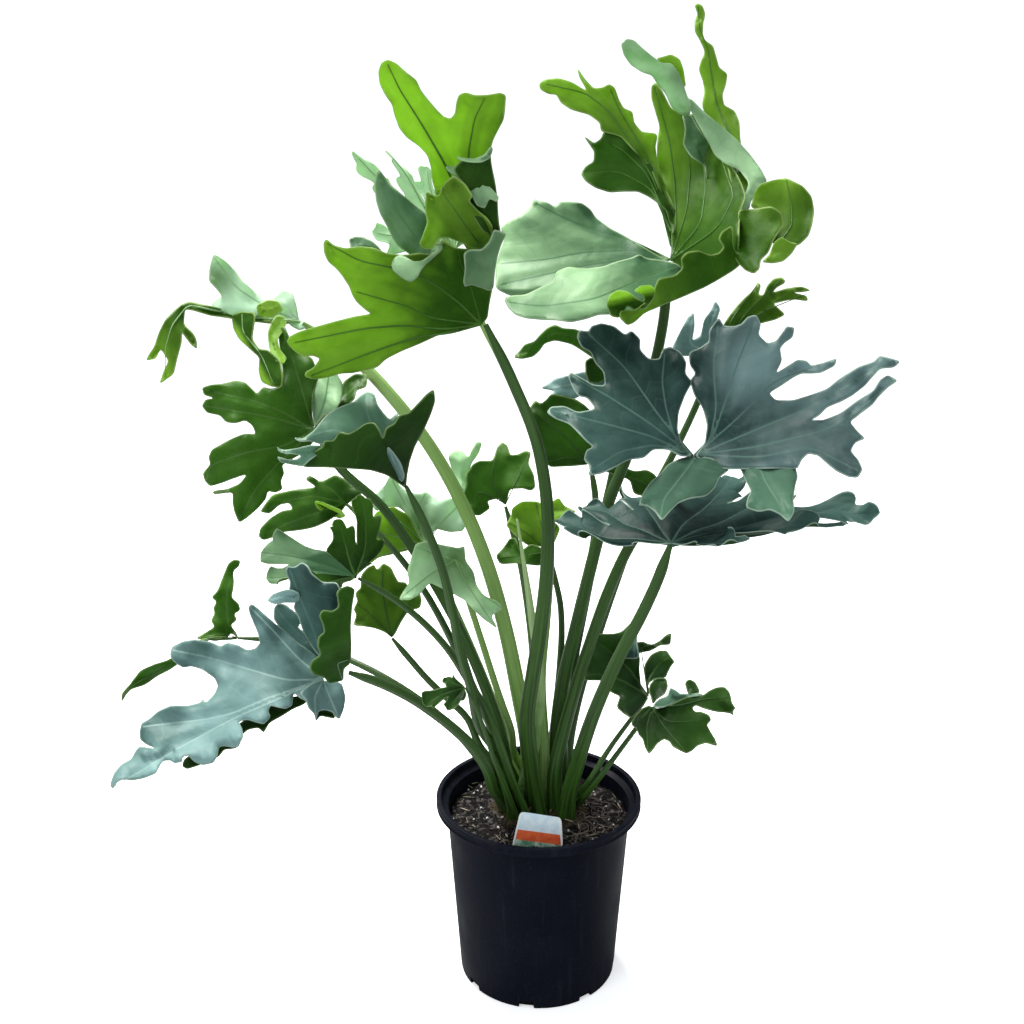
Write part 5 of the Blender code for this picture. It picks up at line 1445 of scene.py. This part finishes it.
def pot_plastic():
    """Blue-black moulded plastic: satin, faintly speckled and scuffed, lighter and rougher in patches near
    its rim.
    """
    material, n, shader, _ = new_material("pot_plastic")
    place = n.place()
    clouds = n.ramp(n.grain(place, 22.0, 4.0), 0.35, 0.7)
    specks = n.ramp(n.grain(place, 900.0, 1.0), 0.66, 0.72)
    streaks = n.ramp(n.grain(n.squashed(place, (140.0, 140.0, 6.0)), 1.0, 3.0), 0.55, 0.75)
    # Lighter and rougher in patches over the top of the wall and the lip
    paler_near_rim = n.times(n.ramp(n.parts(place)[2], 0.172, 0.190), n.ramp(n.grain(place, 70.0, 5.0), 0.45, 0.75))
    body = n.layered(n.mix(clouds, (0.0042, 0.0050, 0.0105), (0.0062, 0.0072, 0.0135)),
                     (streaks, 0.22, (0.030, 0.033, 0.042)), (specks, 0.10, (0.16, 0.16, 0.17)),
                     (paler_near_rim, 0.22, (0.032, 0.033, 0.040)))
    rough = n.plus(n.plus(0.42, n.times(clouds, 0.14)), n.times(paler_near_rim, 0.2))
    n.feed(shader, {"Base Color": body, "Roughness": rough, "Specular IOR Level": 0.04,
                    "Normal": n.bump(n.grain(place, 1500.0, 2.0), 0.25, 0.0002)})
    return material


def lumps(x, y, height, size):
    """How far the ground stands up at a place, in lumps of about that size."""
    x, y = x / size, y / size
    return height * (noise.noise((x, y, 3.7)) + 0.5 * noise.noise((x * 2.3, y * 2.3, 9.1)))


def ground_level(x, y):
    """The height of the mix's surface: lumpy, a little dished at the wall, raised under the crown."""
    from_axis = math.hypot(x, y)
    from_crown = math.hypot(x - CROWN_AT[0], y - CROWN_AT[1])
    mound = CROWN_RISE * float(ease((CROWN_RADIUS * 1.15 - from_crown) / (CROWN_RADIUS * 0.45)))
    dish = 0.002 * float(ease((from_axis - 0.070) / 0.018))
    return MIX_LEVEL + 0.0004 + mound - dish + lumps(x, y, 0.0022, 0.013) + lumps(y, -x, 0.0011, 0.0035)


def ground_patch(centre, radius, rings, steps):
    """Points in rings over a round patch of ground, the middle one first, and the faces on them."""
    places = [centre] + [at for i in range(1, rings + 1) for at in circle(centre, radius * i / rings, steps)]
    faces = [(0, 1 + k, 1 + (k + 1) % steps) for k in range(steps)]
    for i in range(rings - 1):
        for k in range(steps):
            a, b = 1 + i * steps + k, 1 + i * steps + (k + 1) % steps
            faces.append((a, a + steps, b + steps, b))
    return [(x, y, ground_level(x, y)) for x, y in places], faces


def build_ground(name, points, faces, foot, finish, slot):
    """A patch of ground as a closed body, with its side going down to the points of its foot."""
    steps, base = len(foot), len(points)
    outer = base - steps
    for k in range(steps):
        after = (k + 1) % steps
        faces.append((outer + k, base + k, base + after, outer + after))
    faces.append(tuple(range(base, base + steps))[::-1])
    ground = mesh_object(name, points + foot, faces)
    ground.data.materials.append(finish)
    belongs(ground, slot, name)


def build_mix():
    """The potting mix: a lumpy top on a plain body that follows the pot's inner wall."""
    steps = 132
    foot_radius = BASE_RADIUS - POT_WALL - SEAT
    points, faces = ground_patch((0.0, 0.0), foot_radius + WALL_SLOPE * MIX_LEVEL, 44, steps)
    foot = [(x, y, POT_FLOOR + SEAT) for x, y in circle((0.0, 0.0), foot_radius, steps)]
    finish = soil_finish("potting_mix", (0.0025, 0.0022, 0.0021), (0.018, 0.015, 0.0138))
    build_ground("potting_mix", points, faces, foot, finish, "potting_mix")


def build_crown():
    """The low fibrous mound that the stalks stand in, sunk a little into the mix."""
    steps = 80
    points, faces = ground_patch(CROWN_AT, CROWN_RADIUS * CROWN_OVERLAP, 22, steps)
    inner = len(points) - 2 * steps
    points = [(x, y, z + 0.0006 * (i < inner)) for i, (x, y, z) in enumerate(points)]
    foot = [(x, y, MIX_LEVEL - 0.004) for x, y, _ in points[-steps:]]
    finish = soil_finish("crown_fibre", (0.030, 0.022, 0.010), (0.105, 0.080, 0.040))
    build_ground("crown", points, faces, foot, finish, "crown_stem")


def soil_finish(name, deep, light, pale=(0.16, 0.13, 0.10)):
    """Damp crumbs of bark and peat."""
    material, n, shader, _ = new_material(name)
    place = n.place()
    crumbs = n.ramp(n.grain(place, 420.0, 4.0), 0.36, 0.68)
    clods = n.ramp(n.grain(place, 90.0, 3.0), 0.35, 0.65)
    flecks = n.ramp(n.grain(place, 1100.0, 1.0), 0.68, 0.76)
    body = n.layered(n.mix(n.times(crumbs, 0.8), deep, light), (clods, 0.5, deep), (flecks, 0.6, pale))
    height = n.plus(crumbs, n.times(flecks, 0.3))
    n.feed(shader, {"Base Color": body, "Roughness": n.plus(0.72, n.times(clods, 0.2)),
                    "Specular IOR Level": 0.12, "Normal": n.bump(height, 0.9, 0.0012)})
    return material


def bit_finish(name, deep, light, roughness):
    """Loose bits whose colour differs from one to the next."""
    material, n, shader, _ = new_material(name)
    fibres = n.grain(n.squashed(n.place(), (1.0, 4.0, 1.0)), 700.0, 3.0)
    share = n.plus(n.times(n.number("tint"), 0.75), n.times(fibres, 0.35))
    n.feed(shader, {"Base Color": n.mix(share, deep, light), "Roughness": roughness,
                    "Normal": n.bump(fibres, 0.6, 0.0005)})
    return material


def scattered_bits_tree():
    """Strews copies of a few bits over a surface, each turned, sized and tinted at random."""
    n, given, out = new_group("Scattered Bits", "GeometryNodeTree",
                              {"Ground": SHAPE, "Bits": BITS, "Per Square Metre": NUMBER, "Smallest": NUMBER,
                               "Largest": NUMBER, "Sunk": NUMBER, "Lean": NUMBER, "Seed": WHOLE,
                               "Bit Finish": FINISH}, {"Strewn": SHAPE})
    seed = given["Seed"]
    spread = n.add("GeometryNodeDistributePointsOnFaces",
                   {"Mesh": given["Ground"], "Density": given["Per Square Metre"], "Seed": seed})
    parts = n.add("GeometryNodeCollectionInfo",
                  {"Collection": given["Bits"], "Separate Children": True, "Reset Children": True})
    lean = given["Lean"]
    least = n.vector(n.minus(0.0, lean), n.minus(0.0, lean))
    turn = n.add("FunctionNodeRandomValue", {0: least, 1: n.vector(lean, lean, math.tau), "Seed": seed},
                 data_type="FLOAT_VECTOR")
    limits = {2: given["Smallest"], 3: given["Largest"], "Seed": n.plus(seed, 1.0)}
    size = n.add("FunctionNodeRandomValue", limits, data_type="FLOAT").outputs[1]
    set_out = n.add("GeometryNodeInstanceOnPoints",
                    {"Points": spread.outputs[0], "Instance": parts.outputs[0], "Pick Instance": True,
                     "Rotation": turn.outputs[0], "Scale": size})
    tint = n.add("FunctionNodeRandomValue", {2: 0.0, 3: 1.0, "Seed": n.plus(seed, 2.0)}, data_type="FLOAT")
    tinted = n.marked(set_out.outputs[0], "tint", tint.outputs[1], domain="INSTANCE")
    down = n.vector(z=n.times(size, n.minus(0.0, given["Sunk"])))
    lowered = n.add("GeometryNodeTranslateInstances",
                    {"Instances": tinted, "Translation": down, "Local Space": False})
    return n.finished(lowered.outputs[0], given["Bit Finish"], out, "Strewn")


def rough_bit(name, size, roughness, seed):
    """One irregular lump with a few dozen faces, about a unit long before its size is set."""
    bit = bpy.data.meshes.new(name)
    shape = bmesh.new()
    bmesh.ops.create_icosphere(shape, subdivisions=1, radius=0.5)
    chance = random.Random(seed)
    for vert in shape.verts:
        vert.co *= 1 + chance.uniform(-roughness, roughness)
        vert.co *= Vector(size)
    shape.to_mesh(bit)
    shape.free()
    return bpy.data.objects.new(name, bit)


def strewn(name, finish, bits, per_square_metre, sizes, sunk, lean, seed):
    """Loose bits of one kind over the ground inside the pot."""
    group = bpy.data.collections.new(name + "_bits")
    for i, (size, roughness) in enumerate(bits):
        group.objects.link(rough_bit(f"{name}_bit_{i}", size, roughness, seed * 10 + i))
    piece = shaped(mesh_object(name, *ground_patch((0.0, 0.0), LOOSE_RADIUS, 26, 90)), SCATTERED_BITS, {
        "Bits": group, "Per Square Metre": per_square_metre, "Smallest": sizes[0], "Largest": sizes[1],
        "Sunk": sunk, "Lean": lean, "Seed": seed, "Bit Finish": finish})
    for bit in list(group.objects):
        bpy.data.objects.remove(bit)
    bpy.data.collections.remove(group)
    belongs(piece, "potting_mix")


def build_bits():
    """Bark, perlite and straw, loose on the mix."""
    bark = [((1.0, 0.55, 0.22), 0.25), ((1.0, 0.35, 0.25), 0.3), ((0.8, 0.7, 0.3), 0.3),
            ((1.0, 0.25, 0.18), 0.2)]
    grains = [((1.0, 0.8, 0.7), 0.25), ((0.8, 0.9, 0.8), 0.3)]
    straw = [((1.0, 0.09, 0.07), 0.15), ((1.0, 0.14, 0.06), 0.2)]
    strewn("bark_chips", bit_finish("bark", (0.004, 0.0032, 0.003), (0.066, 0.054, 0.048), 0.75),
           bark, 52000.0, (0.0025, 0.0085), 0.02, 0.6, 3)
    strewn("bark_crumbs", bit_finish("peat", (0.003, 0.0027, 0.0026), (0.026, 0.022, 0.020), 0.85),
           bark, 160000.0, (0.0008, 0.0026), 0.05, 1.2, 5)
    strewn("perlite_grains", bit_finish("perlite", (0.50, 0.50, 0.47), (0.80, 0.80, 0.77), 0.7),
           grains, 4200.0, (0.0010, 0.0032), -0.2, 0.8, 8)
    strewn("straw_bits", bit_finish("straw", (0.16, 0.12, 0.07), (0.45, 0.38, 0.27), 0.6),
           straw, 3600.0, (0.004, 0.012), -0.25, 0.35, 12)


def build_roots():
    """Fine pale roots lying over the mix, most of them on the right."""
    chance = random.Random(21)
    splines = []
    for _ in range(ROOT_COUNT):
        angle = chance.gauss(-0.35, 0.7)
        reach = chance.uniform(0.048, 0.070)
        at = np.array((reach * math.cos(angle), reach * math.sin(angle)))
        heading = chance.uniform(0, math.tau)
        bend = chance.uniform(-0.35, 0.35)
        line = []
        for i in range(chance.randint(8, 22)):
            if math.hypot(*at) > ROOT_LIMIT:
                break
            hop = 0.0012 * abs(math.sin(i * 0.8 + angle * 9))
            line.append((*at, ground_level(*at) + 0.0011 + hop))
            bend += chance.uniform(-0.16, 0.16)
            heading += bend * 0.5
            at = at + ROOT_HOP * np.array((math.cos(heading), math.sin(heading)))
        if len(line) > 4:
            thick = chance.uniform(0.00022, 0.00045)
            splines.append((np.array(line), np.linspace(thick, thick * 0.5, len(line))))
    finish = bit_finish("root", (0.14, 0.10, 0.075), (0.40, 0.32, 0.26), 0.55)
    belongs(swept("root_threads", splines, finish, sides=6), "potting_mix")


def build_sheaths(lines):
    """Dry papery leaf bases that stand between the feet of the stalks."""
    chance = random.Random(5)
    points, faces, rows, columns = [], [], 7, 5
    for foot in [line[0] for line in lines.values()][::2]:
        turn = chance.uniform(0, math.tau)
        tall = chance.uniform(0.010, 0.024)
        wide = chance.uniform(0.003, 0.006)
        out = np.array((math.cos(turn), math.sin(turn), 0.0))
        side = np.array((-out[1], out[0], 0.0))
        base = len(points)
        for i in range(rows):
            t = i / (rows - 1)
            half = wide * (1 - t ** 1.6) + 0.0003
            for j in range(columns):
                u = j * 2 / (columns - 1) - 1
                at = foot + out * (0.0085 - 0.003 * u * u + 0.004 * t * t) + side * half * u
                points.append(at + np.array((0, 0, -0.003 + tall * t + 0.001 * math.sin(5 * t + j))))
        faces += [(a, a + 1, a + columns + 1, a + columns) for i in range(rows - 1)
                  for a in range(base + i * columns, base + (i + 1) * columns - 1)]
    sheaths = mesh_object("dry_sheaths", points, faces)
    finish = soil_finish("dry_sheath", (0.055, 0.032, 0.014), (0.24, 0.16, 0.085), (0.4, 0.3, 0.2))
    sheaths.data.materials.append(finish)
    belongs(thickened(sheaths, 0.0003, 0.0), "crown_stem")


def rounded_corners(corners, radius, count=6):
    """The outline with each corner rounded off."""
    found = []
    corners = [np.array(c) for c in corners]
    for before, corner, after in zip(corners[-1:] + corners[:-1], corners, corners[1:] + corners[:1]):
        start = corner + unit(before - corner) * radius
        end = corner + unit(after - corner) * radius
        for t in np.linspace(0, 1, count):
            found.append((1 - t) ** 2 * start + 2 * t * (1 - t) * corner + t * t * end)
    return found


def build_label():
    """A plain tapered plastic label with rounded corners, leaning back a little."""
    outline = rounded_corners(LABEL_CORNERS, LABEL_ROUNDING)
    count = len(outline)
    cos, sin = math.cos(LABEL_LEAN), math.sin(LABEL_LEAN)
    points = [(LABEL_AT[0] + x, LABEL_AT[1] + back * cos - z * sin,
               MIX_LEVEL + LABEL_LIFT + z * cos + back * sin)
              for back in (-LABEL_THICK / 2, LABEL_THICK / 2) for x, z in outline]
    faces = [tuple(range(count)), tuple(range(count, 2 * count))[::-1]]
    faces += [(k, k + count, (k + 1) % count + count, (k + 1) % count) for k in range(count)]
    right, up = ([at[axis] for at in outline] * 2 for axis in (0, 1))
    label = mesh_object("plant_label", points, faces, dict(right=right, up=up))
    label.data.materials.append(label_plastic())
    edge = label.modifiers.new("edge", "BEVEL")
    edge.width = 0.00022
    edge.segments = 2
    edge.limit_method = "ANGLE"
    label = settled(label)
    label.data.set_sharp_from_angle(angle=math.radians(35))
    belongs(label, "label_plastic", "plant_label")


def label_plastic():
    """Glossy white plastic with plain bands of colour inside a white margin."""
    material, n, shader, _ = new_material("label_plastic")
    right, up = n.number("right"), n.number("up")
    slanted = n.plus(up, n.times(right, 0.138))
    mottle = n.mottle(0.006, 0.0012)
    sky = n.mix(mottle["Patches"], (0.60, 0.74, 0.82), (0.74, 0.84, 0.88))
    leafy = n.mix(mottle["Patches"], (0.09, 0.24, 0.15), (0.50, 0.62, 0.50))
    warm = n.mix(mottle["Patches"], (0.72, 0.10, 0.035), (0.80, 0.16, 0.05))
    warm = n.layered(warm, (mottle["Grain"], 0.15, (0.30, 0.03, 0.02)))
    body = n.mix(n.ramp(slanted, 0.0156, 0.0150), sky, warm)
    body = n.mix(n.ramp(slanted, 0.0057, 0.0051), body, leafy)
    side = n.maths("ABSOLUTE", n.minus(right, n.times(up, 0.06)))
    narrow = n.minus(0.0225, n.times(up, 0.16))
    body = n.mix(n.ramp(n.minus(side, narrow), -0.0004, 0.0002), body, (0.84, 0.86, 0.86))
    n.feed(shader, {"Base Color": body, "Roughness": n.plus(0.28, n.times(mottle["Grain"], 0.15)),
                    "Normal": n.bump(mottle["Grain"], 0.15, 0.0002)})
    return material


# The whole plant


def build_leaf(name, one, line):
    """A leaf's blade, as lobes or as traced sheets, with its ribs, and its stalk."""
    pieces, ribs = [], []
    if one["lobes"]:
        joint = spot(*one["joint"])
        size = np.mean([np.linalg.norm(spot(*each["spots"][-1]) - joint) for each in one["lobes"]])
        rows, columns = (72, 9) if size > 0.12 else (56, 8) if size > 0.07 else (40, 7)
        blade, veins = blade_mesh(name, one, rows, columns)
        pieces, ribs = [blade], rib_splines(veins)
    close_up, sheets = SHEETS.get(name, (None, ()))
    for sheet in sheets:
        blade, more_ribs = traced_sheet(name, close_up, *sheet)
        pieces.append(blade)
        ribs += more_ribs
    pieces.append(swept(f"ribs_{name}", ribs, RIB_FINISH[one["tone"]], sides=8))
    slot = RECORD_SLOTS.get(one["tone"], f"leaf_{one['tone']}")
    belongs(merged(f"leaf_{name}", pieces), slot, f"leaf_{name}")
    fine = through(list(line), STALK_ROWS)
    sunk = fine[0] - unit(fine[1] - fine[0]) * STALK_SUNK
    shares = np.linspace(0, 1, STALK_ROWS)
    radii = np.array([stalk_radius(one["stem"], t) for t in shares])
    radii *= 1 + 0.16 * np.exp(-shares / 0.05) - 0.5 * ease((shares - 0.92) / 0.08)
    fine[-1] = fine[-1] * 0.6 + fine[-2] * 0.4
    stalk = swept(f"stalk_{name}", [(np.vstack([sunk, fine]), np.concatenate([radii[:1], radii]))],
                  STALK_FINISH[one["tone"]], sides=24, groove=0.22)
    belongs(stalk, "leaf_stalk", f"stalk_{name}")


def build_spear(line):
    """The new leaf, still rolled: each row's outline winds outwards once, with its edge turning."""
    rows, steps = 110, 44
    wide = steps + 1
    fine = through(list(line), rows)
    radii = np.interp(np.linspace(0, 3, rows), range(4), SPEAR_RADII) / 1000
    ahead = unit(np.gradient(fine, axis=0))
    side = square_to(np.repeat(ACROSS[None], rows, axis=0), ahead)
    out = np.cross(ahead, side)
    far = along_line(fine)
    points, faces = [], []
    numbers = dict(far=[], share=[], seam=[])
    for i in range(rows):
        for k in range(wide):
            turn = k / steps
            angle = math.tau * (turn + far[i] * 3.2)
            radius = radii[i] * (0.86 + 0.17 * turn)
            points.append(fine[i] + (side[i] * math.cos(angle) + out[i] * math.sin(angle)) * radius)
            numbers["far"].append(far[i])
            numbers["share"].append(i / (rows - 1))
            numbers["seam"].append(min(turn, 1 - turn) * math.tau * radii[i])
    for a in range(0, (rows - 1) * wide, wide):
        faces += [(k, k + 1, k + wide + 1, k + wide) for k in range(a, a + steps)]
        faces.append((a + steps, a, a + wide, a + wide + steps))
    faces.append(tuple(range(wide))[::-1])
    faces.append(tuple(range((rows - 1) * wide, rows * wide)))
    spear = mesh_object("new_leaf_spear", points, faces, numbers)
    facing_out(spear)
    spear.data.materials.append(spear_finish())
    belongs(spear, "leaf_pale", "new_leaf_spear")


def spear_finish():
    """Tender rolled leaf: pale green, waxy, with the rolled margin's paler line."""
    material, n, shader, _ = new_material("rolled_leaf")
    mottle = n.mottle(0.02, 0.0015)
    body = n.mix(mottle["Patches"], (0.13, 0.27, 0.06), (0.24, 0.40, 0.12))
    body = n.mix(n.ramp(n.number("share"), 0.1, 1.0), body, (0.34, 0.50, 0.20))
    body = n.layered(body, (n.ramp(n.number("seam"), 0.0016, 0.0004), 0.6, (0.55, 0.68, 0.34)))
    n.feed(shader, {"Base Color": body, "Roughness": n.plus(0.34, n.times(mottle["Grain"], 0.14)),
                    "Normal": n.bump(mottle["Grain"], 0.3, 0.0003)})
    return material


# Stage, lights and camera


def area_light(name, place, aim, size, watts, colour):
    lamp = bpy.data.lights.new(name, "AREA")
    lamp.shape = "DISK"
    lamp.size = size
    lamp.energy = watts
    lamp.color = colour
    light = linked(name, lamp)
    light.location = place
    light.rotation_mode = "QUATERNION"
    light.rotation_quaternion = (Vector(place) - Vector(aim)).normalized().to_track_quat("Z", "Y")


def build_stage():
    """A pale floor that curves up into a backdrop, soft light from above, and the camera."""
    profile = [(-4.0, 0.0), (3.0, 0.0)]
    profile += [(3.0 + 1.5 * math.sin(a), 1.5 - 1.5 * math.cos(a)) for a in np.linspace(0.1, math.pi / 2, 14)]
    profile += [(4.5, 6.0)]
    points = [(x, y, z) for y, z in profile for x in (-6.0, 6.0)]
    faces = [(2 * i, 2 * i + 1, 2 * i + 3, 2 * i + 2) for i in range(len(profile) - 1)]
    floor = mesh_object("floor", points, faces)
    material, n, shader, _ = new_material("studio_floor")
    seen = n.add("ShaderNodeLightPath").outputs["Is Camera Ray"]
    n.feed(shader, {"Base Color": n.mix(seen, (0.45, 0.46, 0.47), (0.96, 0.96, 0.96)),
                    "Emission Color": n.mix(seen, (0.0, 0.0, 0.0), (0.42, 0.42, 0.42)),
                    "Emission Strength": 1.0, "Roughness": 0.9, "Specular IOR Level": 0.1})
    floor.data.materials.append(material)
    world = bpy.data.worlds.new("sky")
    bpy.context.scene.world = world
    world.use_nodes = True
    sky = world.node_tree.nodes["Background"]
    Nodes(world.node_tree).feed(sky, {"Color": (0.90, 0.96, 1.0, 1), "Strength": 0.85})
    area_light("sky_behind", (-0.7, 1.3, 2.4), (0.0, 0.0, 0.6), 1.2, 120.0, (1.0, 0.99, 0.95))
    area_light("front_left", (-1.6, -1.8, 1.9), (0.0, 0.0, 0.5), 1.4, 24.0, (0.96, 0.98, 1.0))
    lens = bpy.data.cameras.new("camera")
    lens.sensor_width = SENSOR
    lens.lens = FOCAL_PIXELS / PICTURE_PIXELS * SENSOR
    camera = linked("camera", lens)
    camera.location = EYE
    camera.rotation_euler = (math.radians(90) - PITCH, 0, 0)
    bpy.context.scene.camera = camera
    bpy.context.scene.view_settings.view_transform = "Standard"


VEIN_MARKS = vein_marks_group()
MOTTLE = mottle_group()
SWEPT_STEM = swept_stem_tree()
SCATTERED_BITS = scattered_bits_tree()

BLUISH_UNDERSIDE = ((0.014, 0.048, 0.012), (0.048, 0.120, 0.034))

# Each tone of leaf: the upper face's deep and light green, the underside's, veins, margin, and the
# colour of light that has come through it, then the upper face's roughness and gloss. The painted
# light and shade run between the deep and the light greens; the light greens of pale and of the
# tones with painted sheen reach up to painted highlights and reflections of the sky
TONES = {
    "lime": ((0.045, 0.135, 0.013), (0.330, 0.560, 0.055), (0.032, 0.118, 0.007), (0.300, 0.550, 0.050),
             (0.090, 0.220, 0.022), (0.420, 0.600, 0.180), (0.520, 0.820, 0.090), 0.45, 0.05),
    "green": ((0.013, 0.050, 0.006), (0.060, 0.170, 0.014), (0.013, 0.050, 0.007), (0.062, 0.165, 0.018),
              (0.100, 0.220, 0.045), (0.300, 0.440, 0.170), (0.100, 0.330, 0.014), 0.45, 0.05),
    "blue": ((0.014, 0.040, 0.034), (0.118, 0.246, 0.208), *BLUISH_UNDERSIDE,
             (0.135, 0.250, 0.200), (0.520, 0.680, 0.560), (0.060, 0.190, 0.030), 0.42, 0.05),
    "slate": ((0.016, 0.050, 0.042), (0.280, 0.430, 0.430), *BLUISH_UNDERSIDE,
              (0.150, 0.270, 0.225), (0.520, 0.680, 0.560), (0.060, 0.190, 0.030), 0.42, 0.05),
    "fern": ((0.022, 0.062, 0.036), (0.150, 0.310, 0.200), *BLUISH_UNDERSIDE,
             (0.200, 0.360, 0.260), (0.550, 0.720, 0.560), (0.080, 0.220, 0.050), 0.40, 0.05),
    "mist": ((0.045, 0.115, 0.100), (0.360, 0.580, 0.560), *BLUISH_UNDERSIDE,
             (0.420, 0.620, 0.560), (0.460, 0.620, 0.540), (0.160, 0.340, 0.240), 0.42, 0.05),
    "dark": ((0.009, 0.034, 0.006), (0.040, 0.118, 0.017), (0.013, 0.043, 0.007), (0.042, 0.115, 0.018),
             (0.070, 0.160, 0.035), (0.220, 0.340, 0.130), (0.060, 0.210, 0.010), 0.42, 0.10),
    "pale": ((0.110, 0.270, 0.050), (0.700, 0.950, 0.720), (0.100, 0.240, 0.040), (0.600, 0.860, 0.560),
             (0.380, 0.600, 0.280), (0.600, 0.780, 0.480), (0.400, 0.700, 0.200), 0.45, 0.10),
    "sage": ((0.060, 0.170, 0.070), (0.520, 0.820, 0.440), (0.030, 0.100, 0.010), (0.260, 0.480, 0.055),
             (0.100, 0.240, 0.110), (0.500, 0.680, 0.400), (0.200, 0.480, 0.120), 0.42, 0.05),
}
# The slots of the two tones that the record has no slot of their own for
RECORD_SLOTS = {"mist": "leaf_blue", "sage": "leaf_pale"}
# Deep, light and pale green along the stalks
STALK_TONES = {
    "pale": ((0.190, 0.340, 0.085), (0.290, 0.460, 0.140), (0.170, 0.300, 0.055)),
    "other": ((0.014, 0.042, 0.006), (0.050, 0.125, 0.018), (0.036, 0.092, 0.014)),
}
BLADE_TOP, BLADE_UNDER, BLADE_RIM, RIB_FINISH, STALK_FINISH = {}, {}, {}, {}, {}
for tone, (deep, light, under, under_light, vein, rim, glow, rough, gloss) in TONES.items():
    BLADE_TOP[tone] = blade_finish(f"{tone}_upper_face", deep, light, vein, rim, rough, 0.38, glow,
                                   0.0017, gloss)
    BLADE_UNDER[tone] = blade_finish(f"{tone}_underside", under, under_light, vein, rim, 0.5, 0.42, glow,
                                     0.0011)
    BLADE_RIM[tone] = blade_finish(f"{tone}_margin", rim, rim, rim, rim, 0.5, 0.4, glow, 0.001)
    between = tuple(0.5 * (a + b) for a, b in zip(under, vein))
    RIB_FINISH[tone] = stem_finish(f"{tone}_rib", under, between, vein, 0.5)
    STALK_FINISH[tone] = stem_finish(f"{tone}_stalk", *STALK_TONES.get(tone, STALK_TONES["other"]), 0.38)

stalks = stalk_lines()
for leaf_name, leaf_shape in LEAVES.items():
    build_leaf(leaf_name, leaf_shape, stalks[leaf_name])
build_spear(stalks["spear"])
build_pot()
build_mix()
build_crown()
build_bits()
build_roots()
build_sheaths(stalks)
build_label()
build_stage()
